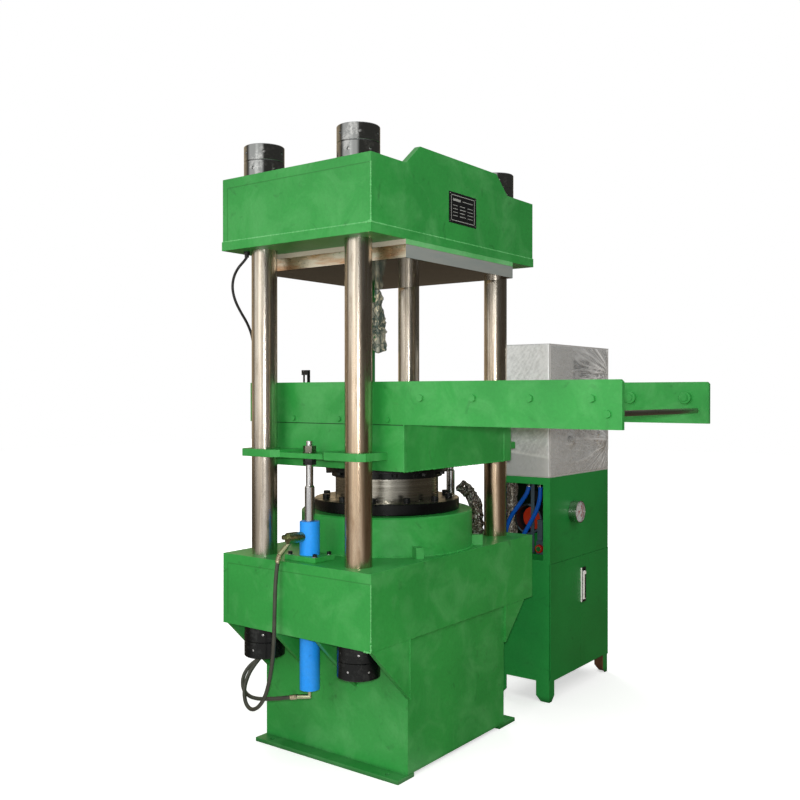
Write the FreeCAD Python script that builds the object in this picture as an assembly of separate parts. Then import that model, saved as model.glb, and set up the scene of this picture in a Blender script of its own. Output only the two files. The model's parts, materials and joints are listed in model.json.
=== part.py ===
import FreeCAD, Part
import math
import os

# Four-column hydraulic vulcanizing press for rubber moulds, with its power unit and
# electrical cabinet.  Millimetres, +Z up.  The origin is on the floor under the ram's
# axis; the operator stands at -Y, and the power unit stands at +X.

V = FreeCAD.Vector
X_AXIS = V(1, 0, 0)
Y_AXIS = V(0, 1, 0)
Z_AXIS = V(0, 0, 1)

# ---- driving dimensions -------------------------------------------------------------
PLATE = 800.0              # square heating plates
RAM_D = 450.0
COLUMN_D = 105.0
COLUMN_X = 500.0           # column axes at +-X, +-Y
COLUMN_Y = 250.0
BEAM_X = 1200.0            # both crossbeams, outside
BEAM_Y = 780.0
LOWER_BEAM_Z = 541.0
LOWER_BEAM_H = 287.0
UPPER_BEAM_Z = 2070.0
UPPER_BEAM_H = 292.0
NUT_D = 166.0
NUT_H = 65.0
BASE_X = 720.0
BASE_Y = 758.0
FOOT_H = 16.0              # foot strips, and the gap under the base's front wall
FOOT_X = {-1: 424.0, 1: 455.0}           # outer edges of the left and right foot strips

# moving platen at rest, as it stands with the ram partly raised
BOX_X = 420.0              # half width of the platen box and outer face of the rails
BOX_Y = 406.0
BOX_Z0 = 1187.0
RAIL_Z0 = 1366.0
RAIL_Z1 = 1530.0
RAIL_T = 18.0              # leaves 2 mm beside the heating plates
RAIL_FRONT = -1278.0
RAIL_BACK = 415.0
TOP_PLATE_T = 40.0
BOARD_T = 26.0             # heat insulation board under the lower heating plate
HEAT_T = 54.0              # lower heating plate
UPPER_BOARD_T = 20.0
UPPER_HEAT_T = 52.0

CLEAR = 0.3                # between bodies that slide past each other

LOWER_TOP = LOWER_BEAM_Z + LOWER_BEAM_H
UPPER_TOP = UPPER_BEAM_Z + UPPER_BEAM_H
RAM_R = RAM_D / 2
COLUMN_R = COLUMN_D / 2
HALF_PLATE = PLATE / 2

nodes = {}


# ---- helpers ------------------------------------------------------------------------
def block(x0, x1, y0, y1, z0, z1):
    return Part.makeBox(x1 - x0, y1 - y0, z1 - z0, V(x0, y0, z0))


def post(x, y, z0, z1, radius):
    return Part.makeCylinder(radius, z1 - z0, V(x, y, z0), Z_AXIS)


def tube(x, y, z0, z1, outer, inner):
    return post(x, y, z0, z1, outer).cut(post(x, y, z0 - 1, z1 + 1, inner))


def bar(start, axis, length, radius):
    return Part.makeCylinder(radius, length, V(*start), axis)


def prism(points, push):
    """Solid from a closed flat outline pushed along a vector."""
    corners = [V(*p) for p in points]
    return Part.Face(Part.makePolygon(corners + corners[:1])).extrude(V(*push))


def hex_bar(start, axis, length, across_flats):
    """Hexagonal bar, such as a bolt head or nut, along an axis direction."""
    radius = across_flats / math.sqrt(3)
    direction = V(*axis)
    side = Z_AXIS if abs(direction.z) < 0.5 else X_AXIS
    other = direction.cross(side)
    corners = []
    for k in range(6):
        turn = math.radians(60 * k)
        corners.append(V(*start) + side * (radius * math.cos(turn)) + other * (radius * math.sin(turn)))
    face = Part.Face(Part.makePolygon(corners + corners[:1]))
    return face.extrude(direction * length)


def join(*parts):
    shape = parts[0]
    for part in parts[1:]:
        shape = shape.fuse(part)
    return shape.removeSplitter()


def drill(shape, *tools):
    for tool in tools:
        shape = shape.cut(tool)
    return shape


def keep(name, *shapes):
    """Keep one node: a single solid, or a group of separate solids."""
    solids = []
    for shape in shapes:
        solids.extend(shape.Solids)
    nodes[name] = solids[0] if len(solids) == 1 else Part.makeCompound(solids)


def both(function, *values):
    """The same piece on the left (-1) and on the right (+1)."""
    return [function(side, *values) for side in (-1, 1)]


def column_places():
    for sx in (-1, 1):
        for sy in (-1, 1):
            yield sx * COLUMN_X, sy * COLUMN_Y


def hose(points, radius):
    """Tube along straight runs joined by tangent arcs; prints the bend radii."""
    pts = [V(*p) for p in points]
    edges = []
    radii = []
    start = pts[0]
    for i in range(1, len(pts) - 1):
        before = pts[i] - pts[i - 1]
        after = pts[i + 1] - pts[i]
        half_turn = before.getAngle(after) / 2
        reach = 0.45 * min(before.Length, after.Length)
        radii.append(reach / math.tan(half_turn))
        u = before.normalize()
        w = after.normalize()
        first = pts[i] - u * reach
        last = pts[i] + w * reach
        inward = (w - u).normalize()
        middle = pts[i] + inward * (radii[-1] / math.cos(half_turn) - radii[-1])
        edges.append(Part.LineSegment(start, first).toShape())
        edges.append(Part.Arc(first, middle, last).toShape())
        start = last
    edges.append(Part.LineSegment(start, pts[-1]).toShape())
    path = Part.Wire(edges)
    section = Part.Wire(Part.makeCircle(radius, pts[0], pts[1] - pts[0]))
    solid = path.makePipeShell([section], True, True)
    wanted = math.pi * radius ** 2 * path.Length
    print("hose length %.0f, radii %s, volume ratio %.3f"
          % (path.Length, [round(r) for r in radii], solid.Volume / wanted))
    return solid


# ---- press frame --------------------------------------------------------------------
WALL = 20.0
GUSSET_T = 20.0
GUSSET_Y = (-380.0, -118.0, 110.0, 365.0)
LEFT_GUSSET_X = -590.0     # outer end under the lower beam
RIGHT_GUSSET_X = 522.0
ANCHOR_X = 396.0
ANCHOR_Y = 310.0
ANCHOR_R = 11.0
FEED_Y = -131.0            # main oil pipe from the power unit
FEED_Z = 300.0
FEED_R = 14.0


def base_frame():
    half_x = BASE_X / 2
    half_y = BASE_Y / 2
    outer = block(-half_x, half_x, -half_y, half_y, FOOT_H, LOWER_BEAM_Z)
    inner = block(-half_x + WALL, half_x - WALL, -half_y + WALL, half_y - WALL, 0, LOWER_BEAM_Z + 1)
    parts = [outer.cut(inner)]
    foot_in = half_x - 40
    for side in (-1, 1):
        ends = sorted((side * foot_in, side * FOOT_X[side]))
        strip = block(ends[0], ends[1], -half_y - 2, half_y + 2, 0, FOOT_H)
        for y in (-ANCHOR_Y, ANCHOR_Y):
            strip = strip.cut(post(side * ANCHOR_X, y, -1, FOOT_H + 1, ANCHOR_R))
        parts.append(strip)
    cradle_z = 108.0
    cradle_t = 12.0
    parts.append(block(-half_x + WALL, half_x - WALL, -60, 60, cradle_z, cradle_z + cradle_t))
    for y in GUSSET_Y:
        drop = -half_x - LEFT_GUSSET_X
        parts.append(prism([(LEFT_GUSSET_X, y - GUSSET_T / 2, LOWER_BEAM_Z),
                            (-half_x, y - GUSSET_T / 2, LOWER_BEAM_Z),
                            (-half_x, y - GUSSET_T / 2, LOWER_BEAM_Z - drop),
                            (LEFT_GUSSET_X, y - GUSSET_T / 2, LOWER_BEAM_Z - 3)], (0, GUSSET_T, 0)))
        drop = RIGHT_GUSSET_X - half_x
        parts.append(prism([(half_x, y - GUSSET_T / 2, LOWER_BEAM_Z),
                            (RIGHT_GUSSET_X, y - GUSSET_T / 2, LOWER_BEAM_Z),
                            (RIGHT_GUSSET_X, y - GUSSET_T / 2, LOWER_BEAM_Z - 3),
                            (half_x, y - GUSSET_T / 2, LOWER_BEAM_Z - drop)], (0, GUSSET_T, 0)))
    pipe_hole = bar((half_x - WALL - 1, FEED_Y, FEED_Z), X_AXIS, WALL + 2, FEED_R + 6)
    keep("base_frame", drill(join(*parts), pipe_hole))


BEAM_TOP_T = 38.0
BEAM_BOTTOM_T = 36.0
BEAM_WALL = 28.0
BEAM_LIP = 3.0             # the bottom plate stands this proud of the walls
COLUMN_BOSS_R = 85.0
CYLINDER_BODY_R = 310.0
SIDE_BARREL_R = 40.0
HUMP_BASE = 378.0
HUMP_TOP = 285.0
HUMP_H = 80.0
HUMP_SHIFT = -8.0


def crossbeam(z0, height, lip):
    half_x = BEAM_X / 2
    half_y = BEAM_Y / 2
    z1 = z0 + height
    shell = block(-half_x, half_x, -half_y, half_y, z0, z1)
    room = block(-half_x + BEAM_WALL, half_x - BEAM_WALL, -half_y + BEAM_WALL, half_y - BEAM_WALL,
                 z0 + BEAM_BOTTOM_T, z1 - BEAM_TOP_T)
    shell = shell.cut(room)
    if lip:
        shell = shell.fuse(block(-half_x - lip, half_x + lip, -half_y - lip, half_y + lip,
                                 z0, z0 + BEAM_BOTTOM_T))
    for x, y in column_places():
        shell = shell.fuse(post(x, y, z0, z1, COLUMN_BOSS_R))
    for x, y in column_places():
        shell = shell.cut(post(x, y, z0 - 1, z1 + 1, COLUMN_R))
    return shell


def lower_beam():
    beam = crossbeam(LOWER_BEAM_Z, LOWER_BEAM_H, 0)
    z0 = LOWER_BEAM_Z
    beam = beam.fuse(tube(0, 0, z0, LOWER_TOP, CYLINDER_BODY_R + 30, CYLINDER_BODY_R))
    beam = beam.cut(post(0, 0, z0 - 1, LOWER_TOP + 1, CYLINDER_BODY_R))
    for side in (-1, 1):
        beam = beam.fuse(tube(side * COLUMN_X, 0, z0, LOWER_TOP, SIDE_BARREL_R + 12, SIDE_BARREL_R))
        beam = beam.cut(post(side * COLUMN_X, 0, z0 - 1, LOWER_TOP + 1, SIDE_BARREL_R))
    keep("lower_beam", beam.removeSplitter())


def upper_beam():
    beam = crossbeam(UPPER_BEAM_Z, UPPER_BEAM_H, BEAM_LIP)
    half_x = BEAM_X / 2
    half_y = BEAM_Y / 2
    inside_z = UPPER_BEAM_Z + BEAM_BOTTOM_T
    for x in (-210.0, 210.0):
        beam = beam.fuse(block(x - 14, x + 14, -half_y + BEAM_WALL, half_y - BEAM_WALL, inside_z,
                               UPPER_TOP - BEAM_TOP_T))
    hump = prism([(HUMP_SHIFT - HUMP_BASE, -half_y, UPPER_TOP), (HUMP_SHIFT + HUMP_BASE, -half_y, UPPER_TOP),
                  (HUMP_SHIFT + HUMP_TOP, -half_y, UPPER_TOP + HUMP_H),
                  (HUMP_SHIFT - HUMP_TOP, -half_y, UPPER_TOP + HUMP_H)], (0, BEAM_WALL, 0))
    keep("upper_beam", join(beam, hump))


def columns():
    z0 = LOWER_BEAM_Z - 2 * NUT_H + 6
    z1 = UPPER_TOP + 2 * NUT_H - 6
    keep("columns", *[post(x, y, z0, z1, COLUMN_R) for x, y in column_places()])


SPANNER_HOLE_R = 6.0
SPANNER_HOLE_DEPTH = 14.0


def round_nut(x, y, z, first_turn):
    """Round column nut with six radial spanner holes."""
    nut = tube(x, y, z, z + NUT_H, NUT_D / 2, COLUMN_R)
    ring = [e for e in nut.Edges if abs(e.BoundBox.XLength - NUT_D) < 0.1]
    nut = nut.makeChamfer(2.5, ring)
    for k in range(6):
        turn = math.radians(first_turn + 60 * k)
        out = V(math.cos(turn), math.sin(turn), 0)
        start = V(x, y, z + NUT_H / 2) + out * (NUT_D / 2 + 1)
        nut = nut.cut(Part.makeCylinder(SPANNER_HOLE_R, SPANNER_HOLE_DEPTH + 1, start, out * -1))
    return nut


def column_nuts():
    nuts = []
    for x, y in column_places():
        for k in range(2):
            nuts.append(round_nut(x, y, UPPER_TOP + k * NUT_H, 12 + 31 * k))
            nuts.append(round_nut(x, y, LOWER_BEAM_Z - (k + 1) * NUT_H, 40 - 31 * k))
    keep("column_nuts", *nuts)


# ---- main cylinder ------------------------------------------------------------------
COLLAR_R = 372.0
COLLAR_Z = 986.0           # top of the cylinder, under the gland ring
CYLINDER_Z0 = 120.0
CYLINDER_BORE = RAM_R + 3
CYLINDER_FLOOR = 90.0
RING_R = 316.0
RING_H = 48.0
RING_TOP = COLLAR_Z + RING_H
SEAL_H = 60.0
SEAL_R = RAM_R + 16
LUG_ANGLES = (-124.0, -58.0, 58.0, 124.0)
RING_BOLT_PCD_R = 273.0
RING_BOLTS = 12
RING_BOLT_TURN = -5.0
HEAD_BOLT_PCD_R = 254.5
HEAD_BOLTS = 12


def main_cylinder():
    body = join(post(0, 0, CYLINDER_Z0, LOWER_TOP, CYLINDER_BODY_R),
                post(0, 0, LOWER_TOP, COLLAR_Z, COLLAR_R))
    rim = [e for e in body.Edges if abs(e.BoundBox.ZMin - COLLAR_Z) < 0.1]
    body = body.makeChamfer(6, rim)
    body = body.cut(post(0, 0, CYLINDER_Z0 + CYLINDER_FLOOR, COLLAR_Z + 1, CYLINDER_BORE))
    body = body.cut(post(0, 0, COLLAR_Z - SEAL_H, COLLAR_Z + 1, SEAL_R))
    lug = block(COLLAR_R - 8, COLLAR_R + 46, -16, 16, LOWER_TOP, LOWER_TOP + 44)
    for angle in LUG_ANGLES:
        piece = lug.copy()
        piece.rotate(V(0, 0, 0), Z_AXIS, angle)
        body = body.fuse(piece)
    port = bar((CYLINDER_BORE - 5, FEED_Y, FEED_Z), X_AXIS, 120, 11)
    keep("main_cylinder", drill(body.removeSplitter(), port))


def gland():
    ring = tube(0, 0, COLLAR_Z, RING_TOP, RING_R, RAM_R + CLEAR)
    rims = [e for e in ring.Edges if abs(e.BoundBox.XLength - 2 * RING_R) < 0.1]
    ring = ring.makeChamfer(3, rims)
    keep("gland_ring", ring)
    keep("gland_seal", tube(0, 0, COLLAR_Z - SEAL_H, COLLAR_Z, SEAL_R, RAM_R + CLEAR))


def cap_screw(x, y, z, thread, head, height):
    """Socket cap screw head standing on a face at height z."""
    screw = post(x, y, z, z + height, head / 2)
    socket = hex_bar((x, y, z + 0.4 * height), (0, 0, 1), height, thread * 0.8)
    return screw.cut(socket)


SIDE_FLANGE = (58.0, 81.0)     # half sizes of the side cylinders' flanges
SIDE_FLANGE_T = 20.0
SIDE_BOLT = (42.0, 65.0)


def frame_bolts():
    bolts = []
    for k in range(RING_BOLTS):
        turn = math.radians(RING_BOLT_TURN + 360.0 / RING_BOLTS * k)
        x = RING_BOLT_PCD_R * math.cos(turn)
        y = RING_BOLT_PCD_R * math.sin(turn)
        bolts.append(cap_screw(x, y, RING_TOP, 20, 30, 20))
    flange_top = LOWER_TOP + SIDE_FLANGE_T
    for side in (-1, 1):
        for sx in (-1, 1):
            for sy in (-1, 1):
                x = side * COLUMN_X + sx * SIDE_BOLT[0]
                bolts.append(cap_screw(x, sy * SIDE_BOLT[1], flange_top, 12, 18, 12))
    keep("frame_bolts", *bolts)


# ---- ram and moving platen ----------------------------------------------------------
RAM_BOTTOM = 300.0
RAM_BORE_R = 165.0
HEAD_FLANGE_R = 267.0
HEAD_STEP_R = 241.5
HEAD_FLANGE_Z = 1152.0
HEAD_STEP_Z = 1128.0


def ram():
    body = post(0, 0, RAM_BOTTOM, BOX_Z0, RAM_R)
    body = body.cut(post(0, 0, RAM_BOTTOM - 1, BOX_Z0 - 110, RAM_BORE_R))
    rim = [e for e in body.Edges if abs(e.BoundBox.ZMax - RAM_BOTTOM) < 0.1
           and e.BoundBox.XLength > RAM_D - 1]
    keep("ram", body.makeChamfer(8, rim))
    flange = join(tube(0, 0, HEAD_FLANGE_Z, BOX_Z0, HEAD_FLANGE_R, RAM_R),
                  tube(0, 0, HEAD_STEP_Z, HEAD_FLANGE_Z, HEAD_STEP_R, RAM_R))
    keep("ram_head_flange", flange)


PLATE_SET_BACK = 4.0       # front and back plates sit inside the side plates
ROUND_CORNER_R = 60.0      # right front corner, a bent plate whose edge is at ROUND_CORNER_X
ROUND_CORNER_X = 318.0
BOARD_INSET = 6.0


def moving_platen():
    wall = 25.0
    floor = 32.0
    box = block(-BOX_X, BOX_X, -BOX_Y, BOX_Y, BOX_Z0, RAIL_Z0)
    upright = [e for e in box.Edges if e.BoundBox.ZLength > 1 and e.BoundBox.XMin > BOX_X - 1
               and e.BoundBox.YMax < 1 - BOX_Y]
    box = box.makeFillet(ROUND_CORNER_R, upright)
    for y, x1 in ((-BOX_Y, ROUND_CORNER_X), (BOX_Y - PLATE_SET_BACK, BOX_X - RAIL_T)):
        box = box.cut(block(-BOX_X + RAIL_T, x1, y, y + PLATE_SET_BACK, BOX_Z0 - 1, RAIL_Z0 + 1))
    box = box.cut(block(-BOX_X + wall, BOX_X - wall, -BOX_Y + wall, BOX_Y - wall,
                        BOX_Z0 + floor, RAIL_Z0 + 1))
    rib_x = 12.0
    for x in (-200.0, 0.0, 200.0):
        box = box.fuse(block(x - rib_x, x + rib_x, -BOX_Y + wall, BOX_Y - wall, BOX_Z0 + floor, RAIL_Z0))
    top = block(-HALF_PLATE, HALF_PLATE, -HALF_PLATE, HALF_PLATE, RAIL_Z0, RAIL_Z0 + TOP_PLATE_T)
    keep("moving_platen", box.removeSplitter(), top)
    board_z = RAIL_Z0 + TOP_PLATE_T
    board_edge = HALF_PLATE - BOARD_INSET
    keep("lower_insulation", block(-board_edge, board_edge, -board_edge, board_edge,
                                   board_z, board_z + BOARD_T))


HEATER_R = 8.0
HEATERS = 8
HEATER_DEPTH = 720.0


def heating_plate(name, z0, thickness):
    """Steel plate with a row of cartridge-heater bores from its back edge."""
    plate = block(-HALF_PLATE, HALF_PLATE, -HALF_PLATE, HALF_PLATE, z0, z0 + thickness)
    rims = [e for e in plate.Edges if e.BoundBox.ZLength < 0.1]
    plate = plate.makeChamfer(1.5, rims)
    pitch = PLATE / HEATERS
    for k in range(HEATERS):
        x = -HALF_PLATE + pitch * (k + 0.5)
        mouth = HALF_PLATE + 1
        plate = plate.cut(bar((x, mouth - HEATER_DEPTH, z0 + thickness / 2), Y_AXIS, HEATER_DEPTH, HEATER_R))
    keep(name, plate)


def heating_plates():
    z = RAIL_Z0 + TOP_PLATE_T + BOARD_T
    heating_plate("lower_heating_plate", z, HEAT_T)
    heating_plate("upper_heating_plate", UPPER_BEAM_Z - UPPER_BOARD_T - UPPER_HEAT_T, UPPER_HEAT_T)
    keep("upper_insulation", block(-HALF_PLATE, HALF_PLATE, -HALF_PLATE, HALF_PLATE,
                                   UPPER_BEAM_Z - UPPER_BOARD_T, UPPER_BEAM_Z))


# ---- mould rails --------------------------------------------------------------------
ROLLER_R = 24.0
ROLLER_W = 16.0
ROLLER_Y = (-482.0, -712.0, -942.0, -1172.0)
ROLLER_STAGGER = {-1: 0.0, 1: -14.0}     # the right rail's rollers sit a little further out
ROLLER_Z = 1467.0
AXLE_R = 8.0
AXLE_CLEAR = 0.08
CROSS_ROD_Y = -1228.0
CROSS_ROD_Z = 1417.0
CROSS_ROD_R = 10.0
RAIL_BOLT_Y = (-330.0, -85.0, 160.0, 380.0)
RAIL_BOLT_Z = 1384.0


def out_bar(side, y, z, start, length, radius):
    """Round bar along X, measured outwards from the middle of the press."""
    x0 = start if side > 0 else -(start + length)
    return bar((x0, y, z), X_AXIS, length, radius)


def out_hex(side, y, z, start, length, flats):
    return hex_bar((side * start, y, z), (side, 0, 0), length, flats)


def rail(side):
    inner = side * (BOX_X - RAIL_T)
    outer = side * BOX_X
    cut_back = 8.0
    shape = prism([(min(inner, outer), RAIL_FRONT, RAIL_Z0), (min(inner, outer), RAIL_BACK, RAIL_Z0),
                   (min(inner, outer), RAIL_BACK, RAIL_Z1),
                   (min(inner, outer), RAIL_FRONT + cut_back, RAIL_Z1),
                   (min(inner, outer), RAIL_FRONT, RAIL_Z1 - cut_back)], (RAIL_T, 0, 0))
    hole_start = BOX_X - RAIL_T - 1
    for y in ROLLER_Y:
        shape = shape.cut(out_bar(side, y + ROLLER_STAGGER[side], ROLLER_Z, hole_start, RAIL_T + 2, AXLE_R))
    return shape.cut(out_bar(side, CROSS_ROD_Y, CROSS_ROD_Z, hole_start, RAIL_T + 2, AXLE_R))


def rails():
    keep("rails", *both(rail))
    heads = []
    for side in (-1, 1):
        for y in RAIL_BOLT_Y:
            heads.append(out_hex(side, y, RAIL_BOLT_Z, BOX_X, 8, 19))
    for k in range(HEAD_BOLTS):
        turn = math.radians(15 + 360.0 / HEAD_BOLTS * k)
        x = HEAD_BOLT_PCD_R * math.cos(turn)
        y = HEAD_BOLT_PCD_R * math.sin(turn)
        heads.append(hex_bar((x, y, HEAD_FLANGE_Z), (0, 0, -1), 12, 22))
    heads.extend(rod_nuts())
    keep("platen_bolts", *heads)

    axles = []
    inner_end = BOX_X - RAIL_T - ROLLER_W - 4
    for side in (-1, 1):
        for roller_y in ROLLER_Y:
            y = roller_y + ROLLER_STAGGER[side]
            axle = out_bar(side, y, ROLLER_Z, inner_end, BOX_X - inner_end, AXLE_R)
            washer = out_bar(side, y, ROLLER_Z, inner_end - 3, 3, AXLE_R + 5)
            axles.append(join(axle, out_hex(side, y, ROLLER_Z, BOX_X, 10, 24), washer))
    keep("roller_axles", *axles)

    for side, word in ((-1, "left"), (1, "right")):
        for k, roller_y in enumerate(ROLLER_Y):
            y = roller_y + ROLLER_STAGGER[side]
            start = BOX_X - RAIL_T - ROLLER_W - 0.5
            roller = out_bar(side, y, ROLLER_Z, start, ROLLER_W, ROLLER_R)
            rims = [e for e in roller.Edges if e.BoundBox.XLength < 0.1]
            roller = roller.makeChamfer(2, rims)
            bore = out_bar(side, y, ROLLER_Z, start - 1, ROLLER_W + 2, AXLE_R + AXLE_CLEAR)
            keep("roller_%s_%d" % (word, k + 1), roller.cut(bore))

    inner = BOX_X - RAIL_T
    rod = bar((-inner, CROSS_ROD_Y, CROSS_ROD_Z), X_AXIS, 2 * inner, CROSS_ROD_R)
    ends = []
    for side in (-1, 1):
        ends.append(out_bar(side, CROSS_ROD_Y, CROSS_ROD_Z, inner, RAIL_T, AXLE_R))
        ends.append(out_hex(side, CROSS_ROD_Y, CROSS_ROD_Z, BOX_X, 9, 24))
    keep("cross_rod", join(rod, *ends))


def trip_dog():
    x0 = -BOX_X + 2
    x1 = -BOX_X + RAIL_T - 2
    leg = block(x0, x1, 84, 90, RAIL_Z1, RAIL_Z1 + 50)
    cap = block(x0, x1, 84, 120, RAIL_Z1 + 30, RAIL_Z1 + 50)
    stem = post((x0 + x1) / 2, 112, RAIL_Z1, RAIL_Z1 + 30, 4)
    striker_y = 398.0
    striker = block(BOX_X, BOX_X + 26, striker_y - 10, striker_y, RAIL_Z1 - 40, RAIL_Z1 - 10)
    keep("trip_dog", join(leg, cap, stem), striker)


# ---- lifting ears and side cylinders ------------------------------------------------
EAR_Z0 = 1230.0
EAR_T = 30.0
EAR_BRIDGE_T = 20.0
EAR_X = 577.0
EAR_BRIDGE_X = 552.0
EAR_OUT_Y = 327.0
EAR_IN_Y = 135.0
BUSH_R = 62.0
THREAD_R = 14.0
ROD_R = 20.0
THIN_ROD_R = 15.0
SHOULDER_Z = 1122.0
BARREL_Z0 = 314.0
BARREL_Z1 = 980.0
PISTON_Z0 = 397.0
PISTON_H = 40.0
PISTON_R = 31.5


def ear_plate(side):
    bridge = block(BOX_X, EAR_BRIDGE_X, -EAR_IN_Y, EAR_IN_Y, EAR_Z0, EAR_Z0 + EAR_BRIDGE_T)
    parts = [bridge]
    for sy in (-1, 1):
        taper = EAR_IN_Y - 22
        outline = [(BOX_X, sy * taper), (EAR_BRIDGE_X, sy * taper), (EAR_X, sy * (EAR_IN_Y + 8)),
                   (EAR_X, sy * (EAR_OUT_Y - 26)), (EAR_X - 26, sy * EAR_OUT_Y), (BOX_X, sy * EAR_OUT_Y)]
        parts.append(prism([(x, y, EAR_Z0) for x, y in outline], (0, 0, EAR_T)))
    plate = join(*parts)
    for sy in (-1, 1):
        plate = plate.cut(post(COLUMN_X, sy * COLUMN_Y, EAR_Z0 - 1, EAR_Z0 + EAR_T + 1, BUSH_R))
    plate = plate.cut(post(COLUMN_X, 0, EAR_Z0 - 1, EAR_Z0 + EAR_T + 1, THREAD_R))
    if side < 0:
        plate = plate.mirror(V(0, 0, 0), X_AXIS)
    return plate


def ears():
    keep("ear_plates", *both(ear_plate))
    bushes = [tube(x, y, EAR_Z0, EAR_Z0 + EAR_T, BUSH_R, COLUMN_R + CLEAR) for x, y in column_places()]
    keep("guide_bushes", *bushes)


NUT_FLATS = 46.0
LOCK_NUT_Z = 1203.0
STUD_TOP = 1297.0


def rod_nuts():
    nuts = []
    top = EAR_Z0 + EAR_BRIDGE_T
    for side in (-1, 1):
        x = side * COLUMN_X
        hole = post(x, 0, LOCK_NUT_Z - 1, STUD_TOP, THREAD_R)
        washer = post(x, 0, top, top + 3, 28)
        nuts.append(join(hex_bar((x, 0, top + 3), (0, 0, 1), 25, NUT_FLATS), washer).cut(hole))
        nuts.append(hex_bar((x, 0, LOCK_NUT_Z), (0, 0, 1), EAR_Z0 - LOCK_NUT_Z, NUT_FLATS).cut(hole))
    return nuts


def side_rod(side):
    x = side * COLUMN_X
    cone_h = 8.0
    thick = post(x, 0, PISTON_Z0 + PISTON_H, SHOULDER_Z - cone_h, ROD_R)
    cone = Part.makeCone(ROD_R, THIN_ROD_R, cone_h, V(x, 0, SHOULDER_Z - cone_h), Z_AXIS)
    thin = post(x, 0, SHOULDER_Z, LOCK_NUT_Z, THIN_ROD_R)
    stud = post(x, 0, LOCK_NUT_Z, STUD_TOP, THREAD_R)
    piston = post(x, 0, PISTON_Z0, PISTON_Z0 + PISTON_H, PISTON_R - CLEAR)
    return join(thick, cone, thin, stud, piston)


def side_barrel(side):
    x = side * COLUMN_X
    barrel = post(x, 0, BARREL_Z0, BARREL_Z1, SIDE_BARREL_R)
    half_x, half_y = SIDE_FLANGE
    flange = block(x - half_x, x + half_x, -half_y, half_y, LOWER_TOP, LOWER_TOP + SIDE_FLANGE_T)
    body = join(barrel, flange)
    body = body.cut(post(x, 0, BARREL_Z0 + 20, BARREL_Z1 - 40, PISTON_R))
    return body.cut(post(x, 0, BARREL_Z1 - 41, BARREL_Z1 + 1, ROD_R + CLEAR))


def side_cylinders():
    keep("side_cylinders", *both(side_barrel))
    keep("side_rods", *both(side_rod))


# ---- hoses, cable and their fittings ------------------------------------------------
TEE_Z = 921.0
TEE_DIRECTION = V(-0.978, 0.208, 0)
ELBOW_Z = 284.0
MANIFOLD = (-410.0, -362.0, 262.0, 322.0, 510.0, LOWER_BEAM_Z)
END_NUT_H = 14.0
UPPER_HOSE = [(-614, 53, 857), (-619, 59, 828), (-624, 62, 786), (-628, 64, 727), (-630, 65, 657),
              (-632, 65, 583), (-634, 66, 506), (-633, 76, 430), (-628, 97, 354), (-617, 132, 283),
              (-600, 186, 228), (-577, 252, 198), (-554, 310, 211), (-527, 345, 256), (-494, 351, 311),
              (-458, 337, 357), (-423, 317, 398), (-401, 303, 438), (-396, 300, 480)]
LOWER_HOSE = [(-519, 48, 278), (-526, 89, 269), (-532, 138, 257), (-536, 194, 245), (-534, 260, 232),
              (-519, 330, 227), (-500, 383, 248), (-477, 402, 291), (-450, 383, 335), (-422, 341, 367),
              (-392, 307, 402), (-376, 288, 440), (-374, 285, 480)]
CABLE = [(-530, 322, 2046), (-538, 333, 2028), (-552, 351, 2003), (-567, 361, 1966), (-572, 365, 1920),
         (-558, 364, 1870), (-529, 359, 1822), (-493, 355, 1776), (-466, 352, 1716), (-452, 350, 1600),
         (-445, 349, 1470), (-442, 348.5, 1340), (-442, 348.5, 1210), (-444, 349, 1080),
         (-448, 350, 960), (-454, 351.5, 852)]
HOSE_R = 8.0
CABLE_R = 5.5
GLAND_H = 24.0             # cable gland, of which half is its hexagon


def along(start, direction, length, radius):
    return Part.makeCylinder(radius, length, start, direction)


def fittings():
    """Banjo and elbow on the left cylinder, the manifold block and the hoses' ferrules."""
    left = V(-COLUMN_X, 0, TEE_Z)
    out = TEE_DIRECTION
    collar = along(left + out * 34, out, 30, 20)
    body = along(left + out * 60, out, 46, 22)
    plug = hex_bar(tuple(left + out * 106 + V(0, 0, 6)), tuple(out), 22, 17)
    ferrule_end = V(*UPPER_HOSE[0])
    neck_start = left + out * 84 + V(0, 0, -8)
    to_hose = ferrule_end - neck_start
    neck = along(neck_start, to_hose, to_hose.Length, 7)
    ferrule = along(ferrule_end - to_hose * 0.55, to_hose, to_hose.Length * 0.55, 10.5)
    tee = join(collar, body, plug, neck, ferrule)
    tee = tee.cut(post(-COLUMN_X, 0, LOWER_TOP, BARREL_Z1, SIDE_BARREL_R))

    bend = V(-COLUMN_X, 0, ELBOW_Z)
    to_lower = V(*LOWER_HOSE[0]) - bend
    elbow = join(post(-COLUMN_X, 0, ELBOW_Z, BARREL_Z0, 8), Part.makeSphere(9, bend),
                 along(bend, to_lower, to_lower.Length, 9))

    x0, x1, y0, y1, z0, z1 = MANIFOLD
    manifold = block(x0, x1, y0, y1, z0, z1)
    ends = []
    for x, y, z in (UPPER_HOSE[-1], LOWER_HOSE[-1]):
        ends.append(join(post(x, y, z, z0 - END_NUT_H, 9),
                         hex_bar((x, y, z0 - END_NUT_H), (0, 0, 1), END_NUT_H, 19)))
    half = GLAND_H / 2
    x, y, z = CABLE[0]
    gland_top = join(post(x, y, z, z + half, 9), hex_bar((x, y, z + half), (0, 0, 1), half, 24))
    x, y, z = CABLE[-1]
    gland_bottom = join(post(x, y, z - half, z, 9), hex_bar((x, y, z - GLAND_H), (0, 0, 1), half, 24))
    keep("hose_fittings", tee, elbow, manifold, *ends, gland_top, gland_bottom)


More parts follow.
